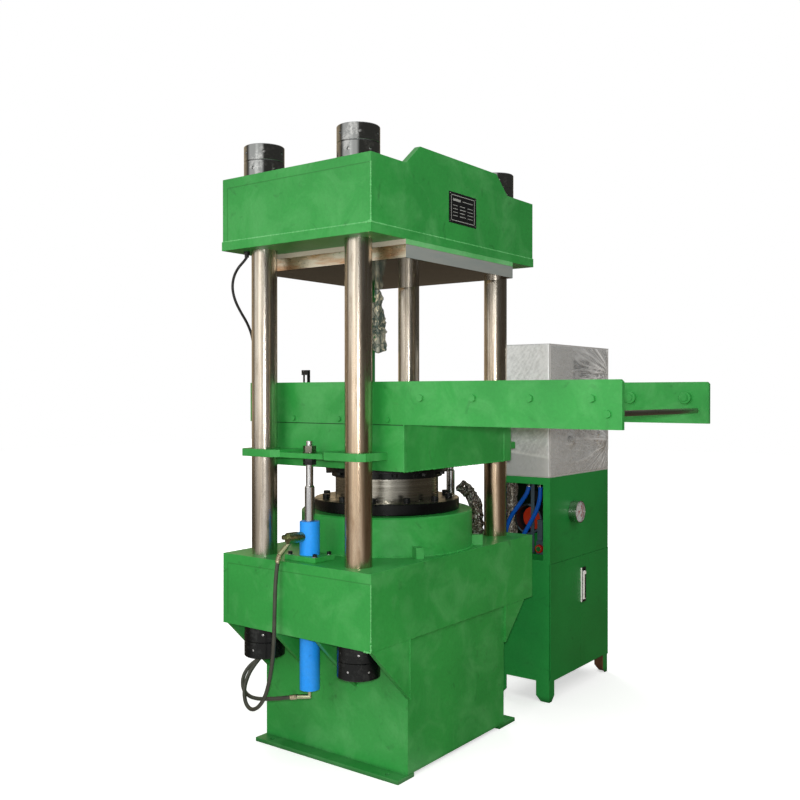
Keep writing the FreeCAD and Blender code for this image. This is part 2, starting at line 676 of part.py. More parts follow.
def hoses():
    keep("hose_upper", hose(UPPER_HOSE, HOSE_R))
    keep("hose_lower", hose(LOWER_HOSE, HOSE_R))
    keep("heater_cable", hose(CABLE, CABLE_R))


# ---- small pieces on the frame ------------------------------------------------------
PLATE_CENTRE = (7.0, 2242.0)
PLATE_SIZE = (204.0, 126.0)
POST_Y0 = 422.0
POST_Y1 = 430.0
POST_X0 = 418.0
POST_X1 = 448.0


def nameplate():
    x, z = PLATE_CENTRE
    w, h = PLATE_SIZE
    front = -BEAM_Y / 2
    plate = block(x - w / 2, x + w / 2, front - 2, front, z - h / 2, z + h / 2)
    for sx in (-1, 1):
        for sz in (-1, 1):
            plate = plate.fuse(bar((x + sx * (w / 2 - 7), front - 3.5, z + sz * (h / 2 - 7)), Y_AXIS, 2, 3))
    keep("nameplate", plate)


def limit_switch():
    back = BEAM_Y / 2
    bar_z0 = LOWER_BEAM_Z + 60
    bar_z1 = UPPER_BEAM_Z + 200
    strip = block(POST_X0, POST_X1, POST_Y0, POST_Y1, bar_z0, bar_z1)
    pads = []
    for z in (bar_z0 + 20, LOWER_TOP - 60, UPPER_BEAM_Z + 60, bar_z1 - 40):
        pads.append(block(POST_X0 + 3, POST_X1 - 3, back, POST_Y0, z, z + 24))
    keep("limit_switch_post", join(strip, *pads))
    body = prism([(POST_X1, 404, 1690), (POST_X1 + 66, 404, 1706), (POST_X1 + 72, 404, 1780),
                  (POST_X1 + 62, 404, 1860), (POST_X1 + 34, 404, 1920), (POST_X1 + 42, 404, 1972),
                  (POST_X1 + 12, 404, 2006), (POST_X1, 404, 2006)], (0, 36, 0))
    keep("limit_switch", body)


WRAP_R = 24.0
FEED_END = 808.0           # where it meets the oil tank


def feed_pipes():
    """Wrapped upper feed stub beside the main cylinder, and the main pressure pipe."""
    route = [(470, -172, LOWER_TOP), (470, -172, 905), (468, -166, 965), (462, -132, 1022),
             (456, -84, 1052)]
    stub = hose(route, WRAP_R)
    start = CYLINDER_BODY_R - 40
    main = bar((start, FEED_Y, FEED_Z), X_AXIS, FEED_END - start, FEED_R)
    main = main.cut(post(0, 0, CYLINDER_Z0, LOWER_TOP, CYLINDER_BODY_R))
    keep("feed_pipes", stub, main)


# ---- power unit ---------------------------------------------------------------------
CAB_X0 = 766.0
CAB_X1 = 1420.0
CAB_Y0 = -391.0
CAB_Y1 = -81.0
UNIT_TOP = 1080.0
SQUARE = 34.0              # frame tube
LEG_H = 96.0
LEG_T = 6.0
MID_Z = 664.0
UNIT_DOOR_Z = (LEG_H + 4, MID_Z - 1.5)
DOOR_T = 3.0
DOOR_GAP = 1.0
SHEET = 3.0
CAB_MID = (CAB_X0 + CAB_X1) / 2


def leg(sx, sy):
    """Angle-iron leg of the power unit, its free corners cut off at the floor."""
    x = CAB_X0 if sx < 0 else CAB_X1
    y = CAB_Y0 if sy < 0 else CAB_Y1
    cut = 26.0

    def flange(width):
        return [(0, 0), (width - cut, 0), (width, cut), (width, LEG_H), (0, LEG_H)]

    along_x = prism([(x - sx * w, y, z) for w, z in flange(52)], (0, -sy * LEG_T, 0))
    along_y = prism([(x, y - sy * w, z) for w, z in flange(72)], (-sx * LEG_T, 0, 0))
    return along_x.fuse(along_y)


HINGE_IN = 4.5             # hinge axes: this far in from the side, and out from the front
HINGE_OUT = 3.2
HINGE_BEAD_R = 2.8
HINGE_PIN_R = 1.5
HINGE_PIN_L = 15.0
HINGE_GAP = 0.6
PIN_CLEAR = 0.08           # running fit of small spindles


def hinge_x(side):
    return CAB_X0 + HINGE_IN if side < 0 else CAB_X1 - HINGE_IN


def hinge_bead(side, z0, z1):
    """The rolled edge of a door, bored for its pins."""
    y = CAB_Y0 - HINGE_OUT
    return tube(hinge_x(side), y, z0, z1, HINGE_BEAD_R, HINGE_PIN_R + PIN_CLEAR)


def hinge_end(side, door_end, upwards):
    """Bracket past the end of a door, with the pin that enters the door's rolled edge."""
    x = hinge_x(side)
    y = CAB_Y0 - HINGE_OUT
    bracket_t = 2.8
    near = door_end - upwards * HINGE_GAP
    far = near - upwards * bracket_t
    tip = door_end + upwards * HINGE_PIN_L
    bracket = block(x - HINGE_IN, x + HINGE_IN, y - HINGE_BEAD_R, CAB_Y0 + 3, min(near, far), max(near, far))
    return bracket.fuse(post(x, y, min(near, tip), max(near, tip), HINGE_PIN_R))


def unit_frame():
    x0, x1, y0, y1 = CAB_X0, CAB_X1, CAB_Y0, CAB_Y1
    s = SQUARE
    parts = []
    for sx in (-1, 1):
        for sy in (-1, 1):
            parts.append(leg(sx, sy))
            px = x0 if sx < 0 else x1 - s
            py = y0 if sy < 0 else y1 - s
            parts.append(block(px, px + s, py, py + s, LEG_H, UNIT_TOP))
    for z0, z1 in ((LEG_H, LEG_H + s), (UNIT_TOP - s, UNIT_TOP)):
        parts.append(block(x0, x1, y0, y0 + s, z0, z1))
        parts.append(block(x0, x1, y1 - s, y1, z0, z1))
        parts.append(block(x0, x0 + s, y0, y1, z0, z1))
        parts.append(block(x1 - s, x1, y0, y1, z0, z1))
    parts.append(block(x0, x1, y0, y0 + s, MID_Z, MID_Z + s))
    for side in (-1, 1):
        parts.append(hinge_end(side, UNIT_DOOR_Z[0], 1))
        parts.append(hinge_end(side, UNIT_DOOR_Z[1], -1))
    keep("unit_frame", join(*parts))


GAUGE_X = 1010.0
GAUGE_Z = 897.0
GAUGE_R = 54.0
GAUGE_DEPTH = 42.0         # how far the case stands out of the front sheet


def unit_panels():
    x0, x1, y0, y1 = CAB_X0, CAB_X1, CAB_Y0, CAB_Y1
    s = SQUARE
    floor_z = LEG_H + s
    top_z = UNIT_TOP - s
    back = block(x0 + s, x1 - s, y1 - SHEET, y1, floor_z, top_z)
    right = block(x1 - SHEET, x1, y0 + s, y1 - s, floor_z, top_z)
    left = block(x0, x0 + SHEET, y0 + s, y1 - s, floor_z, MID_Z + 16)
    left = left.cut(bar((x0 - 1, FEED_Y, FEED_Z), X_AXIS, 60, FEED_R + 1))
    front = block(x0, x1, y0 - SHEET, y0, MID_Z, UNIT_TOP)
    front = front.cut(bar((GAUGE_X, y0 - SHEET - 1, GAUGE_Z), Y_AXIS, SHEET + 2, GAUGE_R - 5))
    for side in (-1, 1):
        notch_x = hinge_x(side)          # room for the doors' upper hinge brackets
        front = front.cut(block(notch_x - 6, notch_x + 6, y0 - SHEET - 1, y0 + 1, MID_Z - 1, MID_Z + 3))
    keep("unit_panels", back, right, left, front)


LATCH_PIN_R = 7.0
LATCH_X = 1118.0
LATCH_Z = 512.0


def unit_doors():
    z0, z1 = UNIT_DOOR_Z
    front = CAB_Y0 - DOOR_T
    back = CAB_Y0 - 0.5
    edge = HINGE_PIN_R + 0.8             # the sheet starts beside the bore of its rolled edge
    left = block(hinge_x(-1) + edge, CAB_MID - DOOR_GAP / 2, front, back, z0, z1)
    left = left.fuse(hinge_bead(-1, z0, z1))
    right = block(CAB_MID + DOOR_GAP / 2, hinge_x(1) - edge, front, back, z0, z1)
    right = right.fuse(hinge_bead(1, z0, z1))
    pivot_z = LATCH_Z + 62
    housing = block(LATCH_X - 22, LATCH_X + 22, front - 8, front, LATCH_Z - 84, LATCH_Z + 90)
    housing = housing.cut(block(LATCH_X - 15, LATCH_X + 15, front - 9, front - 3, LATCH_Z - 76, LATCH_Z + 82))
    way = bar((LATCH_X, front - 9, pivot_z), Y_AXIS, 20, LATCH_PIN_R + PIN_CLEAR)
    keep("unit_door_left", left)
    keep("unit_door_right", join(right, housing).cut(way))
    lever_back = front - 8.5                 # the lever turns just in front of its housing
    lever = block(LATCH_X - 15, LATCH_X + 3, lever_back - 6, lever_back, LATCH_Z - 70, pivot_z)
    boss = bar((LATCH_X, lever_back - 6, pivot_z), Y_AXIS, 6, 11)
    shaft = bar((LATCH_X, lever_back, pivot_z), Y_AXIS, 26, LATCH_PIN_R)
    cam = block(LATCH_X - 10, LATCH_X + 10, front + 12, front + 16, pivot_z - 44, pivot_z + 10)
    keep("door_latch", join(boss, lever, shaft, cam))


def gauge():
    sheet_y = CAB_Y0 - SHEET
    front = sheet_y - GAUGE_DEPTH
    dial_y = front + 12
    hand_y = front + 6
    case = bar((GAUGE_X, front, GAUGE_Z), Y_AXIS, GAUGE_DEPTH, GAUGE_R)
    case = case.cut(bar((GAUGE_X, front - 1, GAUGE_Z), Y_AXIS, dial_y - front + 1, GAUGE_R - 4))
    back = bar((GAUGE_X, sheet_y, GAUGE_Z), Y_AXIS, 34, GAUGE_R - 6)
    stem = bar((GAUGE_X, sheet_y + 34, GAUGE_Z - 20), Y_AXIS, 16, 8)
    arbor = bar((GAUGE_X, hand_y, GAUGE_Z), Y_AXIS, 8, 1.9)
    keep("pressure_gauge", join(case, back, stem, arbor))
    keep("gauge_lens", bar((GAUGE_X, front + 1, GAUGE_Z), Y_AXIS, 2, GAUGE_R - 4.02))
    hub = bar((GAUGE_X, hand_y, GAUGE_Z), Y_AXIS, 4, 5)
    turn = math.radians(225)
    tip = V(math.cos(turn), 0, math.sin(turn))
    side = V(-tip.z, 0, tip.x)
    centre = V(GAUGE_X, hand_y, GAUGE_Z)
    corners = [centre + tip * 36, centre + side * 2.5 - tip * 10, centre - side * 2.5 - tip * 10]
    hand = Part.Face(Part.makePolygon(corners + corners[:1])).extrude(V(0, 1.6, 0))
    keep("gauge_pointer", join(hub, hand).cut(bar((GAUGE_X, hand_y - 1, GAUGE_Z), Y_AXIS, 10, 1.95)))


TANK_TOP = 700.0
MOTOR_Y = -228.0
MOTOR_Z = 862.0
MOTOR_R = 75.0
COWL_X = 850.0
FAN_X = 895.0
SHAFT_R = 12.0
KNOB_Y = -320.0
KNOB_Z = 730.0
FILLER = (1320.0, -300.0)
FILTER = (880.0, -117.0)
FILTER_R = 31.0
FILTER_TOP = 1036.0
CRADLE_X = (950.0, 1130.0)
VALVE_TOP = 764.0
SOLENOID_TOP = 866.0
STRAP_X = (843.0, 848.0)    # upright strap that carries the hose block
STRAP_Y = (-266.0, -247.0)
HOSE_BLOCK_Y = (-350.0, -190.0)
HOSE_BLOCK_Z = 1052.0
UNIT_HOSE_X = 830.0
UNIT_HOSE_R = 11.0
SUPPLY_HOSE = [(830, -248, 1052), (831, -241, 1006), (830, -211, 959), (829, -173, 912),
               (830, -138, 864), (831, -115, 812), (830, -107, 756), (830, -107.5, TANK_TOP)]
RETURN_HOSE = [(830, -306, 1052), (829, -309, 1000), (830, -300, 944), (831, -276, 890),
               (830, -246, 838), (829, -216, 787), (830, -196, 741), (830, -188, TANK_TOP)]


def oil_tank():
    x0 = CAB_X0 + SQUARE + 6
    x1 = CAB_X1 - SQUARE - 6
    y0 = CAB_Y0 + SQUARE + 6
    y1 = CAB_Y1 - 10
    z0 = LEG_H + SQUARE
    tank = block(x0, x1, y0, y1, z0, TANK_TOP)
    tank = tank.cut(block(x0 + 4, x1 - 4, y0 + 4, y1 - 4, z0 + 4, TANK_TOP - 4))
    neck_top = TANK_TOP + 22
    cap = join(post(*FILLER, TANK_TOP, neck_top, 22), post(*FILLER, neck_top, neck_top + 18, 30))
    cradle = block(*CRADLE_X, MOTOR_Y - 60, MOTOR_Y + 60, TANK_TOP, MOTOR_Z - MOTOR_R + 2)
    cradle = cradle.cut(bar((CRADLE_X[0] - 1, MOTOR_Y, MOTOR_Z), X_AXIS, 182, MOTOR_R))
    filter_can = post(*FILTER, TANK_TOP, FILTER_TOP, FILTER_R)
    keep("oil_tank", tank, cap, cradle, filter_can)


def pump_motor():
    axis = (MOTOR_Y, MOTOR_Z)
    motor_x = FAN_X + 48
    bell_x = motor_x + 200
    pump_x = bell_x + 70
    cowl = bar((COWL_X, *axis), X_AXIS, motor_x - COWL_X, MOTOR_R)
    cowl = cowl.cut(bar((COWL_X - 1, *axis), X_AXIS, motor_x - COWL_X - 1, MOTOR_R - 8))
    body = bar((motor_x, *axis), X_AXIS, bell_x - motor_x, MOTOR_R)
    bell = bar((bell_x, *axis), X_AXIS, pump_x - bell_x, 66)
    pump = bar((pump_x, *axis), X_AXIS, 96, 44)
    way = bar((FAN_X + 30, *axis), X_AXIS, 260, SHAFT_R + PIN_CLEAR)
    box_z = MOTOR_Z + MOTOR_R
    box = block(motor_x + 52, motor_x + 152, MOTOR_Y - 45, MOTOR_Y + 45, box_z - 6, box_z + 50)
    motor = join(cowl, body, bell, pump, box).cut(way)
    valve = block(812, 872, KNOB_Y - 26, KNOB_Y + 26, TANK_TOP, VALVE_TOP)
    valve = valve.cut(bar((800, KNOB_Y, KNOB_Z), X_AXIS, 40, 5 + PIN_CLEAR))
    solenoid = block(824, 862, KNOB_Y, KNOB_Y + 26, VALVE_TOP, SOLENOID_TOP)
    hung = UNIT_TOP - 2
    top_block = block(UNIT_HOSE_X - 16, UNIT_HOSE_X + 16, *HOSE_BLOCK_Y, HOSE_BLOCK_Z, hung)
    hanger = block(UNIT_HOSE_X - 28, UNIT_HOSE_X - 16, *HOSE_BLOCK_Y, HOSE_BLOCK_Z + 4, hung)
    strap = block(*STRAP_X, *STRAP_Y, TANK_TOP, hung)
    keep("pump_motor", motor, join(valve, solenoid), join(top_block, hanger, strap))

    hub = bar((FAN_X, *axis), X_AXIS, 34, 18)
    disc = bar((FAN_X + 6, *axis), X_AXIS, 6, 56)
    shaft = bar((FAN_X + 30, *axis), X_AXIS, 250, SHAFT_R)
    keep("motor_fan", join(hub, disc, shaft))

    grip = bar((786, KNOB_Y, KNOB_Z), X_AXIS, 20, 19)
    stem = bar((806, KNOB_Y, KNOB_Z), X_AXIS, 30, 5)
    keep("valve_knob", join(grip, stem))

    keep("unit_hose_supply", hose(SUPPLY_HOSE, UNIT_HOSE_R))
    keep("unit_hose_return", hose(RETURN_HOSE, UNIT_HOSE_R))


# ---- electrical cabinet -------------------------------------------------------------
BOX_TOP = 1724.0
BOX_BOTTOM = UNIT_TOP
SCREEN = (1014.0, 1205.0, 1496.0, 1652.0)
SELECTOR = (964.0, 1258.0)
ESTOP = (1307.0, 1244.0)
STEM_R = 11.0


def electrical_cabinet():
    x0, x1, y0, y1 = CAB_X0, CAB_X1, CAB_Y0, CAB_Y1
    shell = block(x0, x1, y0, y1, BOX_BOTTOM, BOX_TOP)
    shell = shell.cut(block(x0 + SHEET, x1 - SHEET, y0 - 1, y1 - SHEET, BOX_BOTTOM + SHEET, BOX_TOP - SHEET))
    door_z0 = BOX_BOTTOM + 4
    door_z1 = BOX_TOP - 4
    shell = join(shell, hinge_end(1, door_z0, 1), hinge_end(1, door_z1, -1))
    panel = block(x0 + 40, x1 - 40, y1 - 24, y1 - 21, BOX_BOTTOM + 40, BOX_TOP - 40)
    studs = [bar((x, y1 - 21, z), Y_AXIS, 18, 5) for x in (x0 + 60, x1 - 60)
             for z in (BOX_BOTTOM + 60, BOX_TOP - 60)]
    gear = []
    for k in range(5):
        gx = x0 + 90 + 100 * k
        gear.append(block(gx, gx + 60, y1 - 104, y1 - 24, 1500, 1590))
        gear.append(block(gx - 10, gx + 74, y1 - 74, y1 - 24, 1300, 1350))
    keep("cabinet_shell", shell, join(panel, *studs), *gear)

    edge = hinge_x(1) - HINGE_PIN_R - 0.8
    door = block(x0 + 2, edge, y0 - DOOR_T, y0 - 0.5, door_z0, door_z1).fuse(hinge_bead(1, door_z0, door_z1))
    sx0, sx1, sz0, sz1 = SCREEN
    door = door.cut(block(sx0 + 8, sx1 - 8, y0 - 10, y0 + 1, sz0 + 8, sz1 - 8))
    front = y0 - DOOR_T
    x, z = ESTOP
    door = door.fuse(bar((x, front - 7, z), Y_AXIS, 7, 19))
    for x, z in (SELECTOR, ESTOP):
        door = door.cut(bar((x, y0 - 12, z), Y_AXIS, 14, STEM_R + PIN_CLEAR))
    keep("cabinet_door", door)
    keep("operator_screen", join(block(sx0, sx1, front - 5, front, sz0, sz1),
                                 block(sx0 + 8.4, sx1 - 8.4, front, front + 44, sz0 + 8.4, sz1 - 8.4)))
    x, z = SELECTOR
    ring = bar((x, front - 6, z), Y_AXIS, 5.5, 15)
    grip = block(x - 5, x + 5, front - 22, front - 6, z - 13, z + 13)
    keep("selector_knob", join(ring, grip, bar((x, front - 6, z), Y_AXIS, 30, STEM_R)))
    x, z = ESTOP
    cap = bar((x, front - 26, z), Y_AXIS, 12, 20)
    keep("estop_button", join(cap, bar((x, front - 20, z), Y_AXIS, 40, STEM_R)))


base_frame()
lower_beam()
upper_beam()
columns()
column_nuts()
main_cylinder()
gland()
frame_bolts()
ram()
moving_platen()
heating_plates()
rails()
trip_dog()
ears()
side_cylinders()
fittings()
hoses()
nameplate()
limit_switch()
feed_pipes()
unit_frame()
unit_panels()
unit_doors()
gauge()
oil_tank()
pump_motor()
electrical_cabinet()

os.makedirs("parts", exist_ok=True)
for name in sorted(nodes):
    shape = nodes[name]
    if not shape.isValid():
        print("NOT VALID", name)
    shape.exportStep("parts/%s.step" % name)
print(len(nodes), "nodes written")
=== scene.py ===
import bmesh
import bpy
import json
from functools import partial
from math import atan2, cos, exp, hypot, pi, radians, sin
from mathutils import Matrix, Vector, noise

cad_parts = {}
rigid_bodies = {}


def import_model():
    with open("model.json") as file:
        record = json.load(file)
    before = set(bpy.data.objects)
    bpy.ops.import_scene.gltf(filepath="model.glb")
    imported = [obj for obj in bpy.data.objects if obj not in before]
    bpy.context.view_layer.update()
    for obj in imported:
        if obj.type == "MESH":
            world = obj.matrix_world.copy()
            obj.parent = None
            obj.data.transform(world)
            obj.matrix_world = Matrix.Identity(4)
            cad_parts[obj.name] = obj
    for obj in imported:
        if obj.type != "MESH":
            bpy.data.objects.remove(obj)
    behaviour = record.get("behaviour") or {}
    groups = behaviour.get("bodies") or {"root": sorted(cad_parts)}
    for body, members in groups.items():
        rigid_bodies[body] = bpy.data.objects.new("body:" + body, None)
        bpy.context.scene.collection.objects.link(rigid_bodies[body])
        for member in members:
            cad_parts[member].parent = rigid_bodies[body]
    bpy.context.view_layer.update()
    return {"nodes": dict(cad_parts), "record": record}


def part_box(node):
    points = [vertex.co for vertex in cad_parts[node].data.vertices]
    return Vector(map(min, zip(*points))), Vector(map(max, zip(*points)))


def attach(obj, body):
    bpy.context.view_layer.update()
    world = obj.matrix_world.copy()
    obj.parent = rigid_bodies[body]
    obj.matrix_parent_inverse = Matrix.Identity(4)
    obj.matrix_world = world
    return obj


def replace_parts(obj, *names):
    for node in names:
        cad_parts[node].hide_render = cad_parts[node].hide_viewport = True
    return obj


# Looks of a four-column hydraulic press that cures rubber moulds, with its power unit and
# electrical cabinet.  Metres, +Z up, the operator at -Y.

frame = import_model()

MM = 0.001
Z = Vector((0, 0, 1))
FRAME_BODY = "press_frame"
BODY_OF = {node: body for body, nodes in frame["record"]["behaviour"]["bodies"].items() for node in nodes}


# ---- nodes and meshes ---------------------------------------------------------------
def linear(hex_colour):
    """Linear RGBA of an sRGB hex colour."""
    parts = [int(hex_colour[k:k + 2], 16) / 255 for k in (1, 3, 5)]
    return tuple(c / 12.92 if c <= 0.04045 else ((c + 0.055) / 1.055) ** 2.4 for c in parts) + (1.0,)


def add(tree, kind, inputs=None, **settings):
    """Adds one node.  A short kind is of the tree's own sort.  Settings are the node's properties, and a Mix
    node mixes colours unless they say otherwise.  An input is a value, a hex colour, an output, or a node,
    whose first output in use then feeds it.  Mix: 0 is the share, 6 and 7 the colours.  MapRange: 0 is the
    value, 1 and 2 the range it comes from, 3 and 4 the range it goes to."""
    if "Node" not in kind:
        kind = tree.bl_idname.removesuffix("Tree") + kind
    made = tree.nodes.new(kind)
    if kind == "ShaderNodeMix":
        made.data_type = "RGBA"
    for key, value in settings.items():
        setattr(made, key, value)
    for key, value in (inputs or {}).items():
        if isinstance(value, bpy.types.Node):
            value = next(output for output in value.outputs if output.enabled)
        if isinstance(value, bpy.types.NodeSocket):
            tree.links.new(value, made.inputs[key])
        else:
            made.inputs[key].default_value = linear(value) if isinstance(value, str) else value
    return made


def linked(name, data):
    """A new object in the scene."""
    made = bpy.data.objects.new(name, data)
    bpy.context.scene.collection.objects.link(made)
    return made


def new_object(name, data, body=FRAME_BODY):
    """A piece that rides on a body."""
    piece = linked(name, data)
    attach(piece, body)
    return piece


def evaluated_mesh(name, holder):
    """The holder's mesh with its modifiers applied.  The holder is removed."""
    graph = bpy.context.evaluated_depsgraph_get()
    mesh = bpy.data.meshes.new_from_object(holder.evaluated_get(graph), depsgraph=graph)
    mesh.name = name
    old = holder.data
    bpy.data.objects.remove(holder)
    if old.users == 0:
        bpy.data.batch_remove([old])
    return mesh


def use_material(mesh, material):
    mesh.materials.clear()
    mesh.materials.append(material)


def bmesh_piece(bm, name, material, body=FRAME_BODY):
    """The piece that a bmesh holds: doubles merged, faces outwards, smooth between gentle edges."""
    bmesh.ops.remove_doubles(bm, verts=bm.verts, dist=0.01 * MM)
    bmesh.ops.recalc_face_normals(bm, faces=bm.faces)
    mesh = bpy.data.meshes.new(name)
    bm.to_mesh(mesh)
    bm.free()
    mesh.shade_smooth()
    mesh.set_sharp_from_angle(angle=radians(40))
    use_material(mesh, material)
    return new_object(name, mesh, body)


def add_box(bm, low, high):
    """A closed box between two corners."""
    corners = [bm.verts.new((x, y, z)) for x in (low[0], high[0]) for y in (low[1], high[1])
               for z in (low[2], high[2])]
    for ring in ((0, 1, 3, 2), (4, 6, 7, 5), (0, 4, 5, 1), (2, 3, 7, 6), (0, 2, 6, 4), (1, 5, 7, 3)):
        bm.faces.new([corners[k] for k in ring])


def add_turned(bm, start, direction, profile, segments=32):
    """A turned shape in mm: profile is (distance along the axis, radius) from one end to the other."""
    start = Vector(start)
    axis = Vector(direction).normalized()
    across = axis.orthogonal().normalized()
    other = axis.cross(across)
    rings = []
    for along, radius in profile:
        middle = (start + axis * along) * MM
        if radius <= 0:
            rings.append([bm.verts.new(middle)])
            continue
        ring = []
        for k in range(segments):
            turn = 2 * pi * k / segments
            ring.append(bm.verts.new(middle + radius * MM * (across * cos(turn) + other * sin(turn))))
        rings.append(ring)
    for lower, upper in zip(rings, rings[1:]):
        for k in range(segments):
            following = (k + 1) % segments
            corners = [lower[k % len(lower)], lower[following % len(lower)],
                       upper[following % len(upper)], upper[k % len(upper)]]
            unique = list(dict.fromkeys(corners))
            if len(unique) > 2:
                bm.faces.new(unique)
    for ring in (rings[0], rings[-1]):
        if len(ring) > 2:
            bm.faces.new(ring)


def turned_piece(name, shapes, material, body=FRAME_BODY, segments=32):
    """One piece of several turned shapes, each (start, direction, profile)."""
    bm = bmesh.new()
    for start, direction, profile in shapes:
        add_turned(bm, start, direction, profile, segments)
    return bmesh_piece(bm, name, material, body)


def cad_copy(node, keep=None):
    """A merged copy of a CAD node's mesh, its flat faces joined; keep tells which vertices stay."""
    bm = bmesh.new()
    bm.from_mesh(frame["nodes"][node].data)
    if keep:
        drop = [v for v in bm.verts if not keep(v.co)]
        bmesh.ops.delete(bm, geom=drop, context="VERTS")
    bmesh.ops.remove_doubles(bm, verts=bm.verts, dist=0.01 * MM)
    bmesh.ops.dissolve_limit(bm, angle_limit=radians(0.4), verts=bm.verts, edges=bm.edges)
    mesh = bpy.data.meshes.new(node + "_copy")
    bm.to_mesh(mesh)
    bm.free()
    if "custom_normal" in mesh.attributes:
        mesh.attributes.remove(mesh.attributes["custom_normal"])
    mesh.shade_smooth()
    return mesh


def paint_regions(mesh, regions):
    """Gives other materials to the faces for which test(centre, normal) is true."""
    for material, test in regions:
        mesh.materials.append(material)
        for face in mesh.polygons:
            if test(face.center, face.normal):
                face.material_index = len(mesh.materials) - 1


def finished(node, round_mm, material, regions=(), keep=None, name=None):
    """A CAD node's piece with its edges rounded, which stands for the node."""
    holder = linked("holder", cad_copy(node, keep))
    rounding = holder.modifiers.new("rounding", "BEVEL")
    rounding.width = round_mm * MM
    rounding.segments = 2
    rounding.limit_method = "ANGLE"
    rounding.angle_limit = radians(35)
    rounding.miter_outer = "MITER_ARC"
    shading = holder.modifiers.new("shading", "WEIGHTED_NORMAL")
    shading.weight = 100
    name = name or node + "_finished"
    mesh = evaluated_mesh(name, holder)
    use_material(mesh, material)
    paint_regions(mesh, regions)
    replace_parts(new_object(name, mesh, BODY_OF[node]), node)


def crumpled(name, node, material, voxel_mm, depth_mm, fold_mm, inset=0.9, keep=None, also=None):
    """A node wrapped in crushed film or foil: folds as wide as fold_mm, pushed in and out along the skin.
    The smaller the inset, the looser the wrap.  It goes round the box also, where one is given."""
    core = cad_copy(node, keep)
    if also:
        bm = bmesh.new()
        bm.from_mesh(core)
        add_box(bm, *also)
        bm.to_mesh(core)
        bm.free()
    holder = linked("holder", core)
    skin = holder.modifiers.new("skin", "REMESH")
    skin.mode = "VOXEL"
    skin.voxel_size = voxel_mm * MM
    mesh = evaluated_mesh(name, holder)
    moves = []
    for vertex in mesh.vertices:
        at = vertex.co / (fold_mm * MM)
        fold = 1 - 2 * abs(noise.noise(at))
        crease = 1 - 2 * abs(noise.noise(at * 2.3 + Vector((7, 3, 5))))
        moves.append(vertex.normal * (fold + 0.5 * crease - inset) * depth_mm * MM)
    for vertex, move in zip(mesh.vertices, moves):
        vertex.co += move
    mesh.shade_smooth()
    mesh.set_sharp_from_angle(angle=radians(32))
    use_material(mesh, material)
    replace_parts(new_object(name, mesh, BODY_OF[node]), node)


# ---- geometry node trees ------------------------------------------------------------
def growth_tree(name, sockets):
    """A geometry node tree with named inputs; returns it, its put and its inputs."""
    tree = bpy.data.node_groups.new(name, "GeometryNodeTree")
    tree.interface.new_socket("Geometry", in_out="INPUT", socket_type="NodeSocketGeometry")
    for label, kind in sockets.items():
        tree.interface.new_socket(label, in_out="INPUT", socket_type="NodeSocket" + kind)
    tree.interface.new_socket("Geometry", in_out="OUTPUT", socket_type="NodeSocketGeometry")
    return tree, partial(add, tree), tree.nodes.new("NodeGroupInput").outputs


def grown(name, mesh, tree, values):
    """The mesh that a tree makes of a start mesh and its named input values."""
    holder = linked("holder", mesh)
    growth = holder.modifiers.new("growth", "NODES")
    growth.node_group = tree
    for item in tree.interface.items_tree:
        if item.in_out == "INPUT" and item.name in values:
            growth[item.identifier] = values[item.name]
    return evaluated_mesh(name, holder)


def weld_tree(material):
    """A weld run along edges: a round core with a row of uneven drops."""
    tree, put, given = growth_tree("weld_run", {"Pitch": "Float", "Bead": "Float", "Seed": "Int"})
    path = put("MeshToCurve", {"Mesh": given["Geometry"]})
    even = put("ResampleCurve", {"Curve": path, "Length": given["Pitch"]}, mode="LENGTH")
    drop = put("MeshIcoSphere", {"Radius": given["Bead"], "Subdivisions": 2})
    size = put("FunctionNodeRandomValue", {2: 0.6, 3: 1.3, "Seed": given["Seed"]}, data_type="FLOAT")
    drops = put("InstanceOnPoints", {"Points": even, "Instance": drop, "Scale": size})
    core_radius = put("ShaderNodeMath", {0: given["Bead"], 1: 0.75}, operation="MULTIPLY")
    section = put("CurvePrimitiveCircle", {"Radius": core_radius, "Resolution": 6})
    core = put("CurveToMesh", {"Curve": even, "Profile Curve": section, "Fill Caps": True})
    both = put("JoinGeometry", {0: drops})
    tree.links.new(core.outputs[0], both.inputs[0])
    real = put("RealizeInstances", {0: both})
    smooth = put("SetShadeSmooth", {"Geometry": real})
    put("NodeGroupOutput", {0: put("SetMaterial", {"Geometry": smooth, "Material": material})})
    return tree


def rib_tree(material):
    """Straight ribs or flutes standing in a ring about Z."""
    tree, put, given = growth_tree("ribs_around", {"Count": "Int", "Radius": "Float", "Height": "Float",
                                                   "Thickness": "Float", "Length": "Float"})
    ring = put("MeshCircle", {"Vertices": given["Count"], "Radius": given["Radius"]})
    size = put("ShaderNodeCombineXYZ", {0: given["Height"], 1: given["Thickness"], 2: given["Length"]})
    rib = put("MeshCube", {"Size": size})
    place = put("InputPosition")
    outwards = put("FunctionNodeAlignEulerToVector", {"Vector": place}, axis="X", pivot_axis="Z")
    ribs = put("InstanceOnPoints", {"Points": ring, "Instance": rib, "Rotation": outwards})
    real = put("RealizeInstances", {0: ribs})
    put("NodeGroupOutput", {0: put("SetMaterial", {"Geometry": real, "Material": material})})
    return tree


# ---- finishes -----------------------------------------------------------------------
def finish(build):
    """Makes a material of each finish below.  The finish gets put, which is add for the material's own tree,
    and the place on the piece, and hands back the shader's inputs."""
    def make(name, *values, **options):
        material = bpy.data.materials.new(name)
        material.use_nodes = True
        material.node_tree.nodes.clear()
        put = partial(add, material.node_tree)
        place = put("TexCoord").outputs["Object"]
        shader = put("BsdfPrincipled", build(put, place, *values, **options))
        put("OutputMaterial", {"Surface": shader})
        return material
    return make


